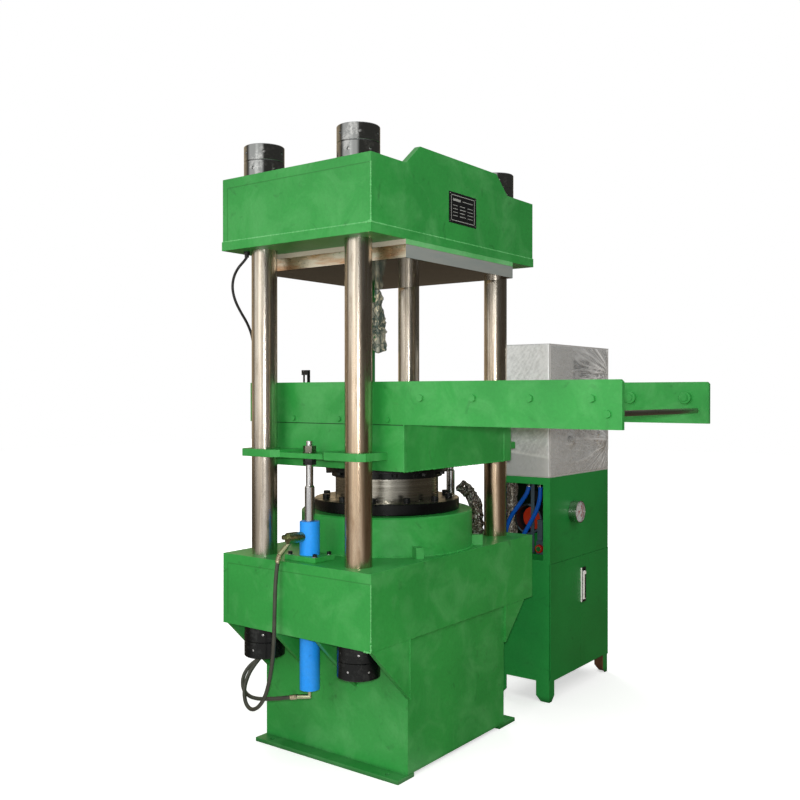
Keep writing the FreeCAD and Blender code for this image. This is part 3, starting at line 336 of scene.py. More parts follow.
@finish
def enamel(put, place, colour, shade, dusty, roughness, peel_mm=7.0, dust=0.3, gloss_level=0.5):
    """Sprayed gloss enamel on steel: the tone drifts over an arm's length, overspray clouds it over a hand's
    width, dark smudges lie on it, it darkens just above the floor, and fine orange peel breaks the gloss."""
    drift = put("TexNoise", {"Vector": place, "Scale": 1 / 0.42, "Detail": 3.0})
    cloud = put("TexNoise", {"Vector": place, "Scale": 1 / 0.16, "Detail": 6.0, "Roughness": 0.6,
                             "Distortion": 0.8})
    smudge = put("TexNoise", {"Vector": place, "Scale": 1 / 0.09, "Detail": 3.0, "Distortion": 1.5})
    mottle = put("TexNoise", {"Vector": place, "Scale": 1 / 0.012, "Detail": 3.0, "Roughness": 0.7})
    peel = put("TexNoise", {"Vector": place, "Scale": 1000 / peel_mm, "Detail": 1.0})
    height = put("SeparateXYZ", {0: place})
    drifted = put("MapRange", {0: drift, 1: 0.36, 2: 0.64})
    tone = put("Mix", {0: drifted, 6: colour, 7: shade})
    clouded = put("MapRange", {0: cloud, 1: 0.46, 2: 0.72, 4: dust})
    patchy = put("Mix", {0: clouded, 6: tone, 7: dusty})
    smudged = put("MapRange", {0: smudge, 1: 0.64, 2: 0.76, 3: 1.0, 4: 0.72})
    speckled = put("MapRange", {0: mottle, 1: 0.3, 2: 0.7, 3: 0.93, 4: 1.07})
    # darker in the last three centimetres above the floor
    darker_near_floor = put("MapRange", {0: height.outputs[2], 1: 0.004, 2: 0.03, 3: 0.5})
    darker = put("Math", {0: smudged, 1: speckled}, operation="MULTIPLY")
    darkening = put("Math", {0: darker, 1: darker_near_floor}, operation="MULTIPLY")
    skin = put("VectorMath", {0: patchy, "Scale": darkening}, operation="SCALE")
    gloss = put("MapRange", {0: cloud, 1: 0.3, 2: 0.7, 3: roughness - 0.04, 4: roughness + 0.08})
    broad = put("Bump", {"Height": drift, "Distance": 2.0 * MM, "Strength": 0.5})
    fine = put("Bump", {"Height": peel, "Distance": 0.05 * MM, "Strength": 0.7, "Normal": broad})
    return {"Base Color": skin, "Roughness": gloss, "Normal": fine, "Specular IOR Level": gloss_level}


@finish
def steel(put, place, tone, stain, roughness, line_mm, line_depth_mm, stained, stretch=(1.0, 1.0, 1.0)):
    """Bare machined steel: stains and oil drawn out along the work, tool lines in its gloss and relief."""
    drawn = put("Mapping", {"Vector": place, "Scale": stretch})
    film = put("TexNoise", {"Vector": drawn, "Scale": 1 / 0.05, "Detail": 5.0, "Roughness": 0.6})
    lines = put("TexNoise", {"Vector": drawn, "Scale": 1000 / line_mm})
    oil_film_and_painted_reflection = put("MapRange", {0: film, 1: 0.38, 2: 0.66, 4: stained})
    metal = put("Mix", {0: oil_film_and_painted_reflection, 6: tone, 7: stain})
    polish = put("MapRange", {0: lines, 1: 0.3, 2: 0.7, 3: 0.75 * roughness, 4: 1.3 * roughness})
    relief = put("Bump", {"Height": lines, "Distance": line_depth_mm * MM, "Strength": 0.8})
    return {"Base Color": metal, "Metallic": 1.0, "Roughness": polish, "Normal": relief}


@finish
def column_steel(put, place):
    """Column steel finished by grinding, with long thin grinding streaks.  Its colour carries a painted
    reflection: bright and grey near the top, warmer lower down and on the front columns."""
    height = put("SeparateXYZ", {0: place})
    # painted reflection: grey near the top, warmer lower down and on the front columns
    high = put("MapRange", {0: height.outputs[2], 1: 1.15, 2: 1.95})
    drawn = put("Mapping", {"Vector": place, "Scale": (1.0, 1.0, 0.03)})
    streak = put("TexNoise", {"Vector": drawn, "Scale": 1 / 0.014, "Detail": 4.0, "Roughness": 0.6})
    patch_place = put("Mapping", {"Vector": place, "Scale": (1.0, 1.0, 0.25)})
    patch = put("TexNoise", {"Vector": patch_place, "Scale": 1 / 0.035, "Detail": 5.0, "Roughness": 0.65})
    at_front = put("MapRange", {0: height.outputs[1], 1: 0.1, 2: -0.1})
    tones = []
    for behind, in_front, at_top in (("#D9D0C4", "#DAC4AA", "#D5CFC4"), ("#968A7A", "#A78A6C", "#A89C8B")):
        oil_film_and_painted_reflection = put("Mix", {0: at_front, 6: behind, 7: in_front})
        tones.append(put("Mix", {0: high, 6: oil_film_and_painted_reflection, 7: at_top}))
    streaked = put("MapRange", {0: streak, 1: 0.42, 2: 0.66, 4: 0.78})
    patched = put("MapRange", {0: patch, 1: 0.45, 2: 0.7, 4: 0.75})
    dull = put("Math", {0: streaked, 1: patched}, operation="MAXIMUM")
    metal = put("Mix", {0: dull, 6: tones[0], 7: tones[1]})
    polish = put("MapRange", {0: streak, 1: 0.3, 2: 0.7, 3: 0.2, 4: 0.32})
    relief = put("Bump", {"Height": streak, "Distance": 0.03 * MM, "Strength": 0.6})
    return {"Base Color": metal, "Metallic": 1.0, "Roughness": polish, "Normal": relief}


@finish
def blackened(put, place, skin_tone, rubbed_tone, metallic, roughness, scratched):
    """Black-oxide steel with an oiled skin, and grey rubbed specks that catch the light."""
    rub = put("TexNoise", {"Vector": place, "Scale": 1 / 0.012, "Detail": 6.0, "Roughness": 0.75})
    patch = put("TexNoise", {"Vector": place, "Scale": 1 / 0.06})
    both = put("Math", {0: rub, 1: patch}, operation="MULTIPLY")
    rubbed = put("MapRange", {0: both, 1: 0.27, 2: 0.38, 4: scratched})
    skin = put("Mix", {0: rubbed, 6: skin_tone, 7: rubbed_tone})
    gloss = put("MapRange", {0: patch, 1: 0.3, 2: 0.7, 3: 0.8 * roughness, 4: 1.2 * roughness})
    relief = put("Bump", {"Height": patch, "Distance": 0.5 * MM, "Strength": 0.5})
    return {"Base Color": skin, "Metallic": metallic, "Roughness": gloss, "Normal": relief,
            "Specular IOR Level": 0.3}


@finish
def moulded(put, place, colour, shade, roughness, grain_mm=1.5, depth_mm=0.03):
    """Moulded plastic or rubber: one colour with a faint second tone and a fine moulded grain."""
    cloud = put("TexNoise", {"Vector": place, "Scale": 1 / 0.03, "Detail": 4.0})
    grain = put("TexNoise", {"Vector": place, "Scale": 1000 / grain_mm})
    tone = put("Mix", {0: cloud, 6: colour, 7: shade})
    gloss = put("MapRange", {0: cloud, 1: 0.3, 2: 0.7, 3: 0.85 * roughness, 4: 1.15 * roughness})
    relief = put("Bump", {"Height": grain, "Distance": depth_mm * MM, "Strength": 0.6})
    return {"Base Color": tone, "Roughness": gloss, "Normal": relief}


@finish
def ring_steel(put, place, top_z):
    """Gland ring: blackened side, turned bare top darkened by oil and green overspray."""
    height = put("SeparateXYZ", {0: place})
    is_top = put("Math", {0: height.outputs[2], 1: top_z - 1.2 * MM}, operation="GREATER_THAN")
    oil = put("TexNoise", {"Vector": place, "Scale": 1 / 0.05, "Detail": 5.0, "Roughness": 0.65})
    oiled = put("MapRange", {0: oil, 1: 0.4, 2: 0.62})
    bare = put("Mix", {0: oiled, 6: "#C3BBA8", 7: "#4A4C3A"})
    skin = put("Mix", {0: is_top, 6: "#060708", 7: bare})
    metallic = put("MapRange", {0: is_top, 4: 0.95})
    gloss = put("MapRange", {0: oil, 1: 0.3, 2: 0.7, 3: 0.18, 4: 0.4})
    return {"Base Color": skin, "Metallic": metallic, "Roughness": gloss, "Specular IOR Level": 0.25}


@finish
def plate_steel(put, place):
    """Upper heating plate: grey primer on its front edge, an underside finished by grinding whose dark
    reflection is painted into its colour, and milled, faintly heat-tinted side edges."""
    normal = put("NewGeometry").outputs["Normal"]
    facing = put("SeparateXYZ", {0: normal})
    is_front = put("Math", {0: facing.outputs[1], 1: -0.5}, operation="LESS_THAN")
    is_below = put("Math", {0: facing.outputs[2], 1: -0.5}, operation="LESS_THAN")
    drawn = put("Mapping", {"Vector": place, "Scale": (0.5, 0.5, 3.0)})
    tint = put("TexNoise", {"Vector": drawn, "Scale": 1 / 0.09, "Detail": 4.0})
    cutter = put("TexNoise", {"Vector": drawn, "Scale": 1 / 0.008, "Detail": 3.0})
    tinted = put("MapRange", {0: tint, 1: 0.42, 2: 0.62})
    bare = put("Mix", {0: tinted, 6: "#F3EAD8", 7: "#D9AE88"})
    # painted dark reflection on the underside
    painted_dark_reflection = put("Mix", {0: tinted, 6: "#2F2C22", 7: "#544A38"})
    primer = put("Mix", {0: tint, 6: "#7C8887", 7: "#93958F"})
    above = put("Mix", {0: is_front, 6: bare, 7: primer})
    skin = put("Mix", {0: is_below, 6: above, 7: painted_dark_reflection})
    metallic = put("Math", {0: 1.0, 1: is_front}, operation="SUBTRACT")
    side_gloss = put("MapRange", {0: cutter, 1: 0.3, 2: 0.7, 3: 0.24, 4: 0.4})
    primed = put("Mix", {0: is_front, 2: side_gloss, 3: 0.55}, data_type="FLOAT")
    rough = put("Mix", {0: is_below, 2: primed, 3: 0.1}, data_type="FLOAT")
    relief = put("Bump", {"Height": cutter, "Distance": 0.01 * MM, "Strength": 0.5})
    return {"Base Color": skin, "Metallic": metallic, "Roughness": rough, "Normal": relief}


@finish
def board(put, place):
    """Pressed heat insulation board: pale fibre mat with dark flecks, dull."""
    drawn = put("Mapping", {"Vector": place, "Scale": (1.0, 1.0, 5.0)})
    fibre = put("TexNoise", {"Vector": drawn, "Scale": 1 / 0.006, "Detail": 4.0, "Roughness": 0.7})
    tone = put("Mix", {0: fibre, 6: "#8E8676", 7: "#C9C2B2"})
    relief = put("Bump", {"Height": fibre, "Distance": 0.4 * MM, "Strength": 0.7})
    return {"Base Color": tone, "Roughness": 0.85, "Normal": relief}


@finish
def crushed(put, place, dark, tone, bright, fold_mm, metallic, roughness):
    """Thin foil or film crushed by hand: facets a finger wide in three tones with dark lines along the
    creases, the light and shade of the facets and creases painted into the colour.
    """
    leaning = put("Mapping", {"Vector": place, "Rotation": (0.0, 0.0, 0.5), "Scale": (1.0, 1.0, 0.5)})
    bent = put("TexNoise", {"Vector": leaning, "Scale": 1000 / fold_mm, "Detail": 3.0, "Distortion": 2.0})
    facet = put("TexNoise", {"Vector": leaning, "Scale": 1900 / fold_mm, "Distortion": 3.0})
    crease = put("TexVoronoi", {"Vector": place, "Scale": 1000 / fold_mm}, feature="DISTANCE_TO_EDGE")
    lower = put("MapRange", {0: bent, 1: 0.42, 2: 0.54})
    upper = put("MapRange", {0: facet, 1: 0.55, 2: 0.62})
    line = put("MapRange", {0: crease.outputs["Distance"], 1: 0.0, 2: 0.07})
    # painted light and shade: facets in three tones, dark lines along the creases
    first = put("Mix", {0: lower, 6: dark, 7: tone})
    second = put("Mix", {0: upper, 6: first, 7: bright})
    skin = put("Mix", {0: line, 6: dark, 7: second})
    relief = put("Bump", {"Height": crease.outputs["Distance"], "Distance": 3 * MM, "Strength": 0.8})
    return {"Base Color": skin, "Metallic": metallic, "Roughness": roughness, "Normal": relief}


@finish
def stretch_film(put, place):
    """Stretch film: nearly clear where it lies flat, white and glossy along its pulled folds.  The mesh tells
    how white each place is, in its attribute fold, which on the side sheet holds a painted reflection as
    well."""
    fold = put("Attribute", attribute_name="fold").outputs["Fac"]
    ripple = put("TexNoise", {"Vector": place, "Scale": 1 / 0.02, "Detail": 3.0})
    cover = put("MapRange", {0: fold, 3: 0.1, 4: 0.95})
    tone = put("Mix", {0: fold, 6: "#C0C3C3", 7: "#FBFCFC"})
    relief = put("Bump", {"Height": ripple, "Distance": 1.0 * MM, "Strength": 0.5})
    return {"Base Color": tone, "Alpha": cover, "Roughness": 0.16, "Metallic": 0.15, "Normal": relief}


@finish
def clear(put, place, colour, alpha, roughness):
    """Clear film or lens: see-through all over, so only its folds and gloss show."""
    ripple = put("TexNoise", {"Vector": place, "Scale": 1 / 0.02, "Detail": 3.0})
    relief = put("Bump", {"Height": ripple, "Distance": 0.5 * MM, "Strength": 0.5})
    return {"Base Color": colour, "Alpha": alpha, "Roughness": roughness, "Normal": relief}


GREEN = enamel("machine_green_enamel", "#2F9641", "#298A3B", "#6BB873", 0.38)
# pale green: real overspray on the board's front, and a painted highlight on the corner welds
PALE_GREEN = enamel("weld_bead_enamel", "#62B86E", "#54AC60", "#9AD09E", 0.34)
# darker green for the seam strips: painted shade of shallow seam grooves
SEAM_SHADE_GREEN = enamel("filled_seam_enamel", "#2A8438", "#267B34", "#438F4E", 0.4)
# dark green for the strip under the rails: painted shadow
SHADOW_GREEN = enamel("joint_line_enamel", "#12401B", "#0F3817", "#1C4E26", 0.5)
# the press's green made darker for the power unit and the switch post: painted shade
UNIT_SHADED_GREEN = enamel("sheet_green_enamel", "#1B8639", "#177931", "#388C44", 0.38, dust=0.12, gloss_level=0.4)
# a lighter copy of the unit's green: painted light on its left side
UNIT_LIT_SIDE = enamel("side_green_enamel", "#2D9C48", "#288D42", "#48A458", 0.38, dust=0.12, gloss_level=0.4)
# near-black green for the unit's inner faces: painted shade
UNIT_PAINTED_SHADE = enamel("unshone_inside_enamel", "#10281A", "#0D2115", "#1B3323", 0.6, gloss_level=0.2)
BLUE = enamel("cylinder_blue_enamel", "#1D96F8", "#198DEE", "#55AEF6", 0.36, dust=0.2)
GREY = enamel("cabinet_grey_powder_coat", "#C8C7C5", "#BFBEBC", "#D6D4D0", 0.42, peel_mm=4.0)
GREY_BLUE = enamel("valve_grey_blue_enamel", "#46545F", "#3E4C56", "#5F6B73", 0.4)
MOTOR = enamel("motor_charcoal_enamel", "#1D1F21", "#17191B", "#2C2F30", 0.4)
PRIMER = enamel("brown_primer", "#6E4A36", "#5F3F2E", "#85634C", 0.6)
COLUMN = column_steel("column_ground_steel")
TURNED = steel("ram_turned_steel", "#B3B0A6", "#77756A", 0.26, 12.0, 0.03, 0.55, (0.15, 0.15, 6.0))
CHROME = steel("rod_hard_chrome", "#DADBDD", "#A9A9A8", 0.18, 4.0, 0.004, 0.35, (1.0, 1.0, 0.1))
GAUGE_STEEL = steel("gauge_case_steel", "#C9C9C7", "#6F6E6B", 0.24, 9.0, 0.4, 0.7)
NUT_STEEL = steel("plain_nut_steel", "#8E8A80", "#55544A", 0.3, 5.0, 0.03, 0.5)
ROD_STEEL = steel("drawn_rod_steel", "#A19B93", "#6B665F", 0.34, 4.0, 0.02, 0.6, (0.05, 1.0, 1.0))
MILLED = steel("milled_plate_steel", "#B7B0A5", "#7C6D5B", 0.32, 8.0, 0.04, 0.6, (0.5, 0.5, 3.0))
ZINC = steel("yellow_zinc_plating", "#C4C8A4", "#71794F", 0.3, 5.0, 0.03, 0.7)
SLEEVE = steel("crimped_sleeve_plating", "#D3C8AC", "#8E8463", 0.32, 5.0, 0.03, 0.5)
BLACK = blackened("black_oxide_steel", "#0B0E0F", "#5C605E", 0.0, 0.26, 0.16)
NUT_BLACK = blackened("handled_black_nut_steel", "#9A9EA0", "#E8EAEC", 1.0, 0.12, 0.5)
ALUMINIUM = steel("nameplate_aluminium", "#DCDDDE", "#B6B8BB", 0.34, 3.0, 0.01, 0.3, (4.0, 1.0, 0.2))
ETCHED = moulded("etched_aluminium_lines", "#9FA39F", "#858985", 0.4)
BOARD = board("insulation_board")
PLATE = plate_steel("heating_plate_steel")
RING = ring_steel("gland_ring_steel", 1.034)
HOSE = moulded("hydraulic_hose_rubber", "#2A2B26", "#474A3F", 0.42, grain_mm=3.0, depth_mm=0.25)
CABLE = moulded("cable_sheath_rubber", "#121213", "#1E1E1E", 0.35)
BLUE_HOSE = moulded("blue_polyurethane_hose", "#0E5AC4", "#0D50AE", 0.2, depth_mm=0.02)
BLACK_PLASTIC = moulded("black_moulded_plastic", "#0E0F11", "#17191B", 0.3)
RED_PLASTIC = moulded("red_moulded_plastic", "#B3161B", "#9C1216", 0.25)
ORANGE = moulded("fan_orange_plastic", "#C9351A", "#A82810", 0.38)
WHITE_PLASTIC = moulded("white_moulded_plastic", "#FBFAF7", "#F2F1EE", 0.35)
YELLOW_PLASTIC = moulded("yellow_moulded_plastic", "#E0B417", "#CFA50F", 0.35)
DIAL = moulded("dial_card", "#C4C6C6", "#BCBEBE", 0.5)
SCREEN = moulded("screen_glass", "#0D1114", "#12181C", 0.07, depth_mm=0.0)
SEAL = moulded("seal_rubber", "#141414", "#1E1D1C", 0.6)
CAN_FILM = crushed("crushed_brown_film", "#4E463E", "#8E8476", "#D8D2C8", 34, 0.2, 0.22)
STUB_FILM = crushed("crushed_foil", "#231D18", "#75695D", "#EDEBE6", 26, 0.55, 0.2)
SWITCH_FILM = crushed("crushed_switch_film", "#5E7068", "#B4B5A6", "#F8F0CF", 60, 0.1, 0.25)
FILM = stretch_film("stretch_film")
LENS = clear("gauge_glass", "#F2F6F5", 0.12, 0.03)

# ---- camera -------------------------------------------------------------------------
CAMERA_PLACE = (-3.2529, -2.5153, 1.4831)
CAMERA_TURN = 53.084          # degrees from +Y towards +X
CAMERA_PITCH = -0.379
LENS_MM = 42.23
FILM_MM = 36.0

lens = bpy.data.cameras.new("camera")
lens.lens = LENS_MM
lens.sensor_width = FILM_MM
lens.clip_end = 60.0
camera = linked("camera", lens)
camera.location = CAMERA_PLACE
camera.rotation_euler = (radians(90 + CAMERA_PITCH), 0, radians(-CAMERA_TURN))
bpy.context.scene.camera = camera

# ---- cords --------------------------------------------------------------------------
UPPER_HOSE = [(-614, 53, 857), (-619, 59, 828), (-624, 62, 786), (-628, 64, 727), (-630, 65, 657),
              (-632, 65, 583), (-634, 66, 506), (-633, 76, 430), (-628, 97, 354), (-617, 132, 283),
              (-600, 186, 228), (-577, 252, 198), (-554, 310, 211), (-527, 345, 256), (-494, 351, 311),
              (-458, 337, 357), (-423, 317, 398), (-401, 303, 438), (-396, 300, 480)]
LOWER_HOSE = [(-519, 48, 278), (-526, 89, 269), (-532, 138, 257), (-536, 194, 245), (-534, 260, 232),
              (-519, 330, 227), (-500, 383, 248), (-477, 402, 291), (-450, 383, 335), (-422, 341, 367),
              (-392, 307, 402), (-376, 288, 440), (-374, 285, 480)]
HEATER_CABLE = [(-530, 322, 2046), (-538, 333, 2028), (-552, 351, 2003), (-567, 361, 1966), (-572, 365, 1920),
                (-558, 364, 1870), (-529, 359, 1822), (-493, 355, 1776), (-466, 352, 1716), (-452, 350, 1600),
                (-445, 349, 1470), (-442, 348.5, 1340), (-442, 348.5, 1210), (-444, 349, 1080),
                (-448, 350, 960), (-454, 351.5, 852)]
SUPPLY_HOSE = [(830, -248, 1052), (831, -241, 1006), (830, -211, 959), (829, -173, 912),
               (830, -138, 864), (831, -115, 812), (830, -107, 756), (830, -107.5, 700)]
RETURN_HOSE = [(830, -306, 1052), (829, -309, 1000), (830, -300, 944), (831, -276, 890),
               (830, -246, 838), (829, -216, 787), (830, -196, 741), (830, -188, 700)]


def cord(name, route, diameter_mm, node, material):
    """A hose or cable along its route, from one fitting to the other."""
    curve = bpy.data.curves.new(name, "CURVE")
    curve.dimensions = "3D"
    curve.resolution_u = 10
    curve.bevel_depth = diameter_mm / 2 * MM
    curve.bevel_resolution = 5
    curve.use_fill_caps = True
    spline = curve.splines.new("NURBS")
    spline.points.add(len(route) - 1)
    for point, (x, y, z) in zip(spline.points, route):
        point.co = (x * MM, y * MM, z * MM, 1)
    spline.order_u = 3
    spline.use_endpoint_u = True
    curve.materials.append(material)
    piece = new_object(name, curve, BODY_OF[node])
    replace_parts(piece, node)


cord("upper_pressure_hose", UPPER_HOSE, 16, "hose_upper", HOSE)
cord("lower_pressure_hose", LOWER_HOSE, 16, "hose_lower", HOSE)
cord("heater_supply_cable", HEATER_CABLE, 11, "heater_cable", CABLE)
cord("oil_supply_hose", SUPPLY_HOSE, 22, "unit_hose_supply", BLUE_HOSE)
cord("oil_return_hose", RETURN_HOSE, 22, "unit_hose_return", BLUE_HOSE)


# ---- CAD pieces with rounded edges and their finish ----------------------------------
def inside(low_mm, high_mm, facing=None, both_sides=False):
    """A test for faces with their centre in a box, or in its mirror image as well, and turned towards a
    direction where one is given."""
    def test(centre, normal):
        place = (abs(centre.x) if both_sides else centre.x, centre.y, centre.z)
        held = all(a * MM <= c <= b * MM for a, c, b in zip(low_mm, place, high_mm))
        return held and (facing is None or normal.dot(Vector(facing)) > 0.5)
    return test


SIDE_AXIS_X = 0.5
BARREL_R = 0.0405
FLANGE_Z = (0.8275, 0.8492)


def on_side_flange(centre, normal):
    """The flanges under the guide cylinders' barrels."""
    off_axis = hypot(abs(centre.x) - SIDE_AXIS_X, centre.y)
    return FLANGE_Z[0] < centre.z < FLANGE_Z[1] and (off_axis > BARREL_R or abs(normal.z) > 0.5)


UNIT_MIDDLE = Vector((1.093, -0.236, 0.6))
UNIT_HALF = (0.3255, 0.1555)
UNIT_TOP_Z = 1.079


def faces_inwards(centre, normal):
    """The inner faces of the power unit's sheets."""
    towards = UNIT_MIDDLE - centre
    inner = abs(towards.x) < UNIT_HALF[0] and abs(towards.y) < UNIT_HALF[1]
    return inner and normal.dot(towards) > 0 and centre.z < UNIT_TOP_Z


REGIONS = {
    "platen_bolts": [(NUT_STEEL, inside((440, -60, 1232), (560, 60, 1300), both_sides=True)),
                     (GREEN, inside((402, -360, 1366), (440, 420, 1402), both_sides=True))],
    "side_cylinders": [(GREEN, on_side_flange)],
    "hose_fittings": [(BLACK_PLASTIC, inside((-560, 300, 2000), (-500, 345, 2071))),
                      (BLACK_PLASTIC, inside((-480, 330, 827), (-430, 370, 860))),
                      (BLACK, inside((-411, 261, 509), (-361, 323, 542)))],
    "unit_door_right": [(BLACK_PLASTIC, inside((1094, -403, 426), (1142, -394.6, 604))),
                        (WHITE_PLASTIC, inside((1094, -403, 440), (1103.2, -394.6, 590)))],
    "cross_rod": [(GREEN, inside((419.5, -1260, 1390), (450, -1200, 1444), both_sides=True))],
    "unit_frame": [(PRIMER, inside((1300, -392, 0), (1421, -300, 95), (-1, 0, 0))),
                   # the left posts and sheets take the lighter copy of the green, a painted lit side
                   (UNIT_LIT_SIDE, inside((765, -400, 0), (780, 0, 1100), (-1, 0, 0)))],
    "unit_panels": [(UNIT_LIT_SIDE, inside((765, -400, 0), (780, 0, 1090), (-1, 0, 0))),
                    # near-black inner faces: painted shade inside the unit
                    (UNIT_PAINTED_SHADE, faces_inwards)],
    "pump_motor": [(GREY_BLUE, inside((800, -360, 699), (874, -180, 1079)))],
    # the lower nuts take the darker black oxide finish instead of the upper nuts' one: painted shade under
    # the lower beam
    "column_nuts": [(BLACK, inside((-600, -400, 400), (600, 400, 545)))],
    "upper_insulation": [(PALE_GREEN, inside((-401, -401, 2045), (401, -399, 2075), (0, -1, 0)))],
    "nameplate": [(ALUMINIUM, inside((-100, -394, 2170), (120, -392.3, 2310)))],
}
FINISHES = [
    # node, edge radius in mm, finish
    ("base_frame", 3.0, GREEN),
    ("lower_beam", 3.0, GREEN),
    ("upper_beam", 3.0, GREEN),
    ("columns", 2.0, COLUMN),
    ("column_nuts", 1.2, NUT_BLACK),
    ("main_cylinder", 2.0, GREEN),
    ("gland_ring", 1.0, RING),
    ("frame_bolts", 0.9, BLACK),
    ("upper_insulation", 1.0, BOARD),
    ("upper_heating_plate", 1.0, PLATE),
    ("side_cylinders", 1.5, BLUE),
    ("hose_fittings", 0.8, ZINC),
    ("nameplate", 0.4, BLACK_PLASTIC),
    ("limit_switch_post", 1.0, UNIT_SHADED_GREEN),
    ("unit_frame", 1.5, UNIT_SHADED_GREEN),
    ("unit_panels", 0.4, UNIT_SHADED_GREEN),
    ("pressure_gauge", 1.2, GAUGE_STEEL),
    ("pump_motor", 2.0, MOTOR),
    ("cabinet_shell", 2.0, GREY),
    ("ram", 1.5, TURNED),
    ("ram_head_flange", 1.5, BLACK),
    ("moving_platen", 2.5, GREEN),
    ("lower_insulation", 1.0, BOARD),
    ("lower_heating_plate", 1.0, MILLED),
    ("rails", 1.5, GREEN),
    ("platen_bolts", 0.9, BLACK),
    ("roller_axles", 1.0, GREEN),
    ("cross_rod", 0.9, ROD_STEEL),
    ("trip_dog", 1.0, BLACK),
    ("ear_plates", 2.5, GREEN),
    ("guide_bushes", 1.0, GREEN),
    ("side_rods", 1.0, CHROME),
    ("unit_door_left", 0.3, UNIT_SHADED_GREEN),
    ("unit_door_right", 0.3, UNIT_SHADED_GREEN),
    ("door_latch", 1.2, WHITE_PLASTIC),
    ("cabinet_door", 0.6, GREY),
    ("operator_screen", 1.2, BLACK_PLASTIC),
    ("selector_knob", 1.2, BLACK_PLASTIC),
    ("estop_button", 1.0, RED_PLASTIC),
    ("valve_knob", 2.5, RED_PLASTIC),
    ("motor_fan", 0.8, ORANGE),
    ("gauge_pointer", 0.2, RED_PLASTIC),
]
for node, round_mm, material in FINISHES:
    finished(node, round_mm, material, REGIONS.get(node, ()))
for side in ("left", "right"):
    for number in (1, 2, 3, 4):
        finished("roller_%s_%d" % (side, number), 0.8, GREEN)

for node, material in (("gland_seal", SEAL), ("gauge_lens", LENS)):
    use_material(frame["nodes"][node].data, material)

CAN_AXIS = (0.88, -0.117)
CAN_R = 0.032
TANK_TOP_Z = 0.6995
STUB_FOOT_Z = 0.8


def is_can(place):
    return hypot(place.x - CAN_AXIS[0], place.y - CAN_AXIS[1]) < CAN_R and place.z > TANK_TOP_Z


def is_stub(place):
    return place.z > STUB_FOOT_Z


finished("oil_tank", 1.5, UNIT_SHADED_GREEN, keep=lambda place: not is_can(place))
finished("feed_pipes", 1.0, NUT_STEEL, keep=lambda place: not is_stub(place), name="main_pressure_pipe")
crumpled("filter_can_wrap", "oil_tank", CAN_FILM, 3.5, 4.0, 34, keep=is_can)
crumpled("feed_stub_wrap", "feed_pipes", STUB_FILM, 3.0, 8.0, 34, 0.35, is_stub)
post_low, post_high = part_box("limit_switch_post")
switch_low, switch_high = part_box("limit_switch")
# the wrap goes round the post too, clear of the rails' back ends
wrapped_post = ((post_low[0] + 8 * MM, post_high[1] - 12 * MM, switch_low[2] + 10 * MM),
                (post_high[0], post_high[1], switch_high[2] - 50 * MM))
crumpled("limit_switch_wrap", "limit_switch", SWITCH_FILM, 3.0, 8.0, 42, 0.65, also=wrapped_post)


# ---- weld runs and filled seams -----------------------------------------------------
def polylines(name, lines_mm):
    """A mesh of edges only, one chain per line."""
    points = []
    edges = []
    for line in lines_mm:
        first = len(points)
        points.extend([c * MM for c in point] for point in line)
        edges.extend((k, k + 1) for k in range(first, len(points) - 1))
    mesh = bpy.data.meshes.new(name)
    mesh.from_pydata(points, edges, [])
    return mesh


# the paler welds at the near corners and the upper lip: a painted highlight where the beads catch the light
HIGHLIGHT_WELD = weld_tree(PALE_GREEN)
PLAIN_WELD = weld_tree(GREEN)


def weld_run(name, lines_mm, bead_mm, seed, tree=PLAIN_WELD, body=FRAME_BODY):
    values = {"Pitch": 1.3 * bead_mm * MM, "Bead": bead_mm * MM, "Seed": seed}
    return new_object(name, grown(name, polylines(name, lines_mm), tree, values), body)


def circle_line(radius, z, steps=48):
    turns = [2 * pi * k / steps for k in range(steps + 1)]
    return [(radius * cos(turn), radius * sin(turn), z) for turn in turns]


LEFT = -600
FRONT = -390
LIP_Z = 2106
UPPER_TOP = 2362
LOWER_TOP = 828
LOWER_BOTTOM = 541
corner = [[(LEFT, FRONT, LIP_Z), (LEFT, FRONT, 2322)]]
weld_run("upper_corner_weld", corner, 3.0, 3, HIGHLIGHT_WELD)
foot = [[(LEFT, FRONT + 22, LIP_Z), (LEFT, FRONT, LIP_Z + 2), (LEFT + 14, FRONT, LIP_Z)]]
weld_run("upper_corner_drops", foot, 5.5, 9, HIGHLIGHT_WELD)
upper_lip = [[(-LEFT, FRONT, LIP_Z), (LEFT, FRONT, LIP_Z), (LEFT, -FRONT, LIP_Z), (-LEFT, -FRONT, LIP_Z),
              (-LEFT, FRONT, LIP_Z)]]
weld_run("upper_lip_weld", upper_lip, 3.4, 4, HIGHLIGHT_WELD)
lower_corner = [[(LEFT, FRONT, 580), (LEFT, FRONT, 788)]]
weld_run("lower_corner_weld", lower_corner, 2.4, 5, HIGHLIGHT_WELD)
low_foot = [[(LEFT, FRONT + 30, LOWER_BOTTOM + 1), (LEFT, FRONT, LOWER_BOTTOM + 1), (LEFT, FRONT, 568)]]
weld_run("lower_corner_drops", low_foot, 4.0, 12, HIGHLIGHT_WELD)
weld_run("cylinder_foot_weld", [circle_line(373, LOWER_TOP + 1)], 4.5, 6)
BOX_LEFT = -360
gusset_lines = []
for y in (-390, -370, -128, -108, 100, 120, 355, 375):
    gusset_lines.append([(BOX_LEFT, y, LOWER_BOTTOM - 228), (BOX_LEFT, y, LOWER_BOTTOM - 2)])
weld_run("gusset_welds", gusset_lines, 3.0, 7)
platen_edge = [[(-417, -402, 1188), (318, -402, 1188)], [(-417, -403, 1190), (-417, -403, 1366)]]
weld_run("platen_welds", platen_edge, 3.0, 8, body="platen")
ear_roots = []
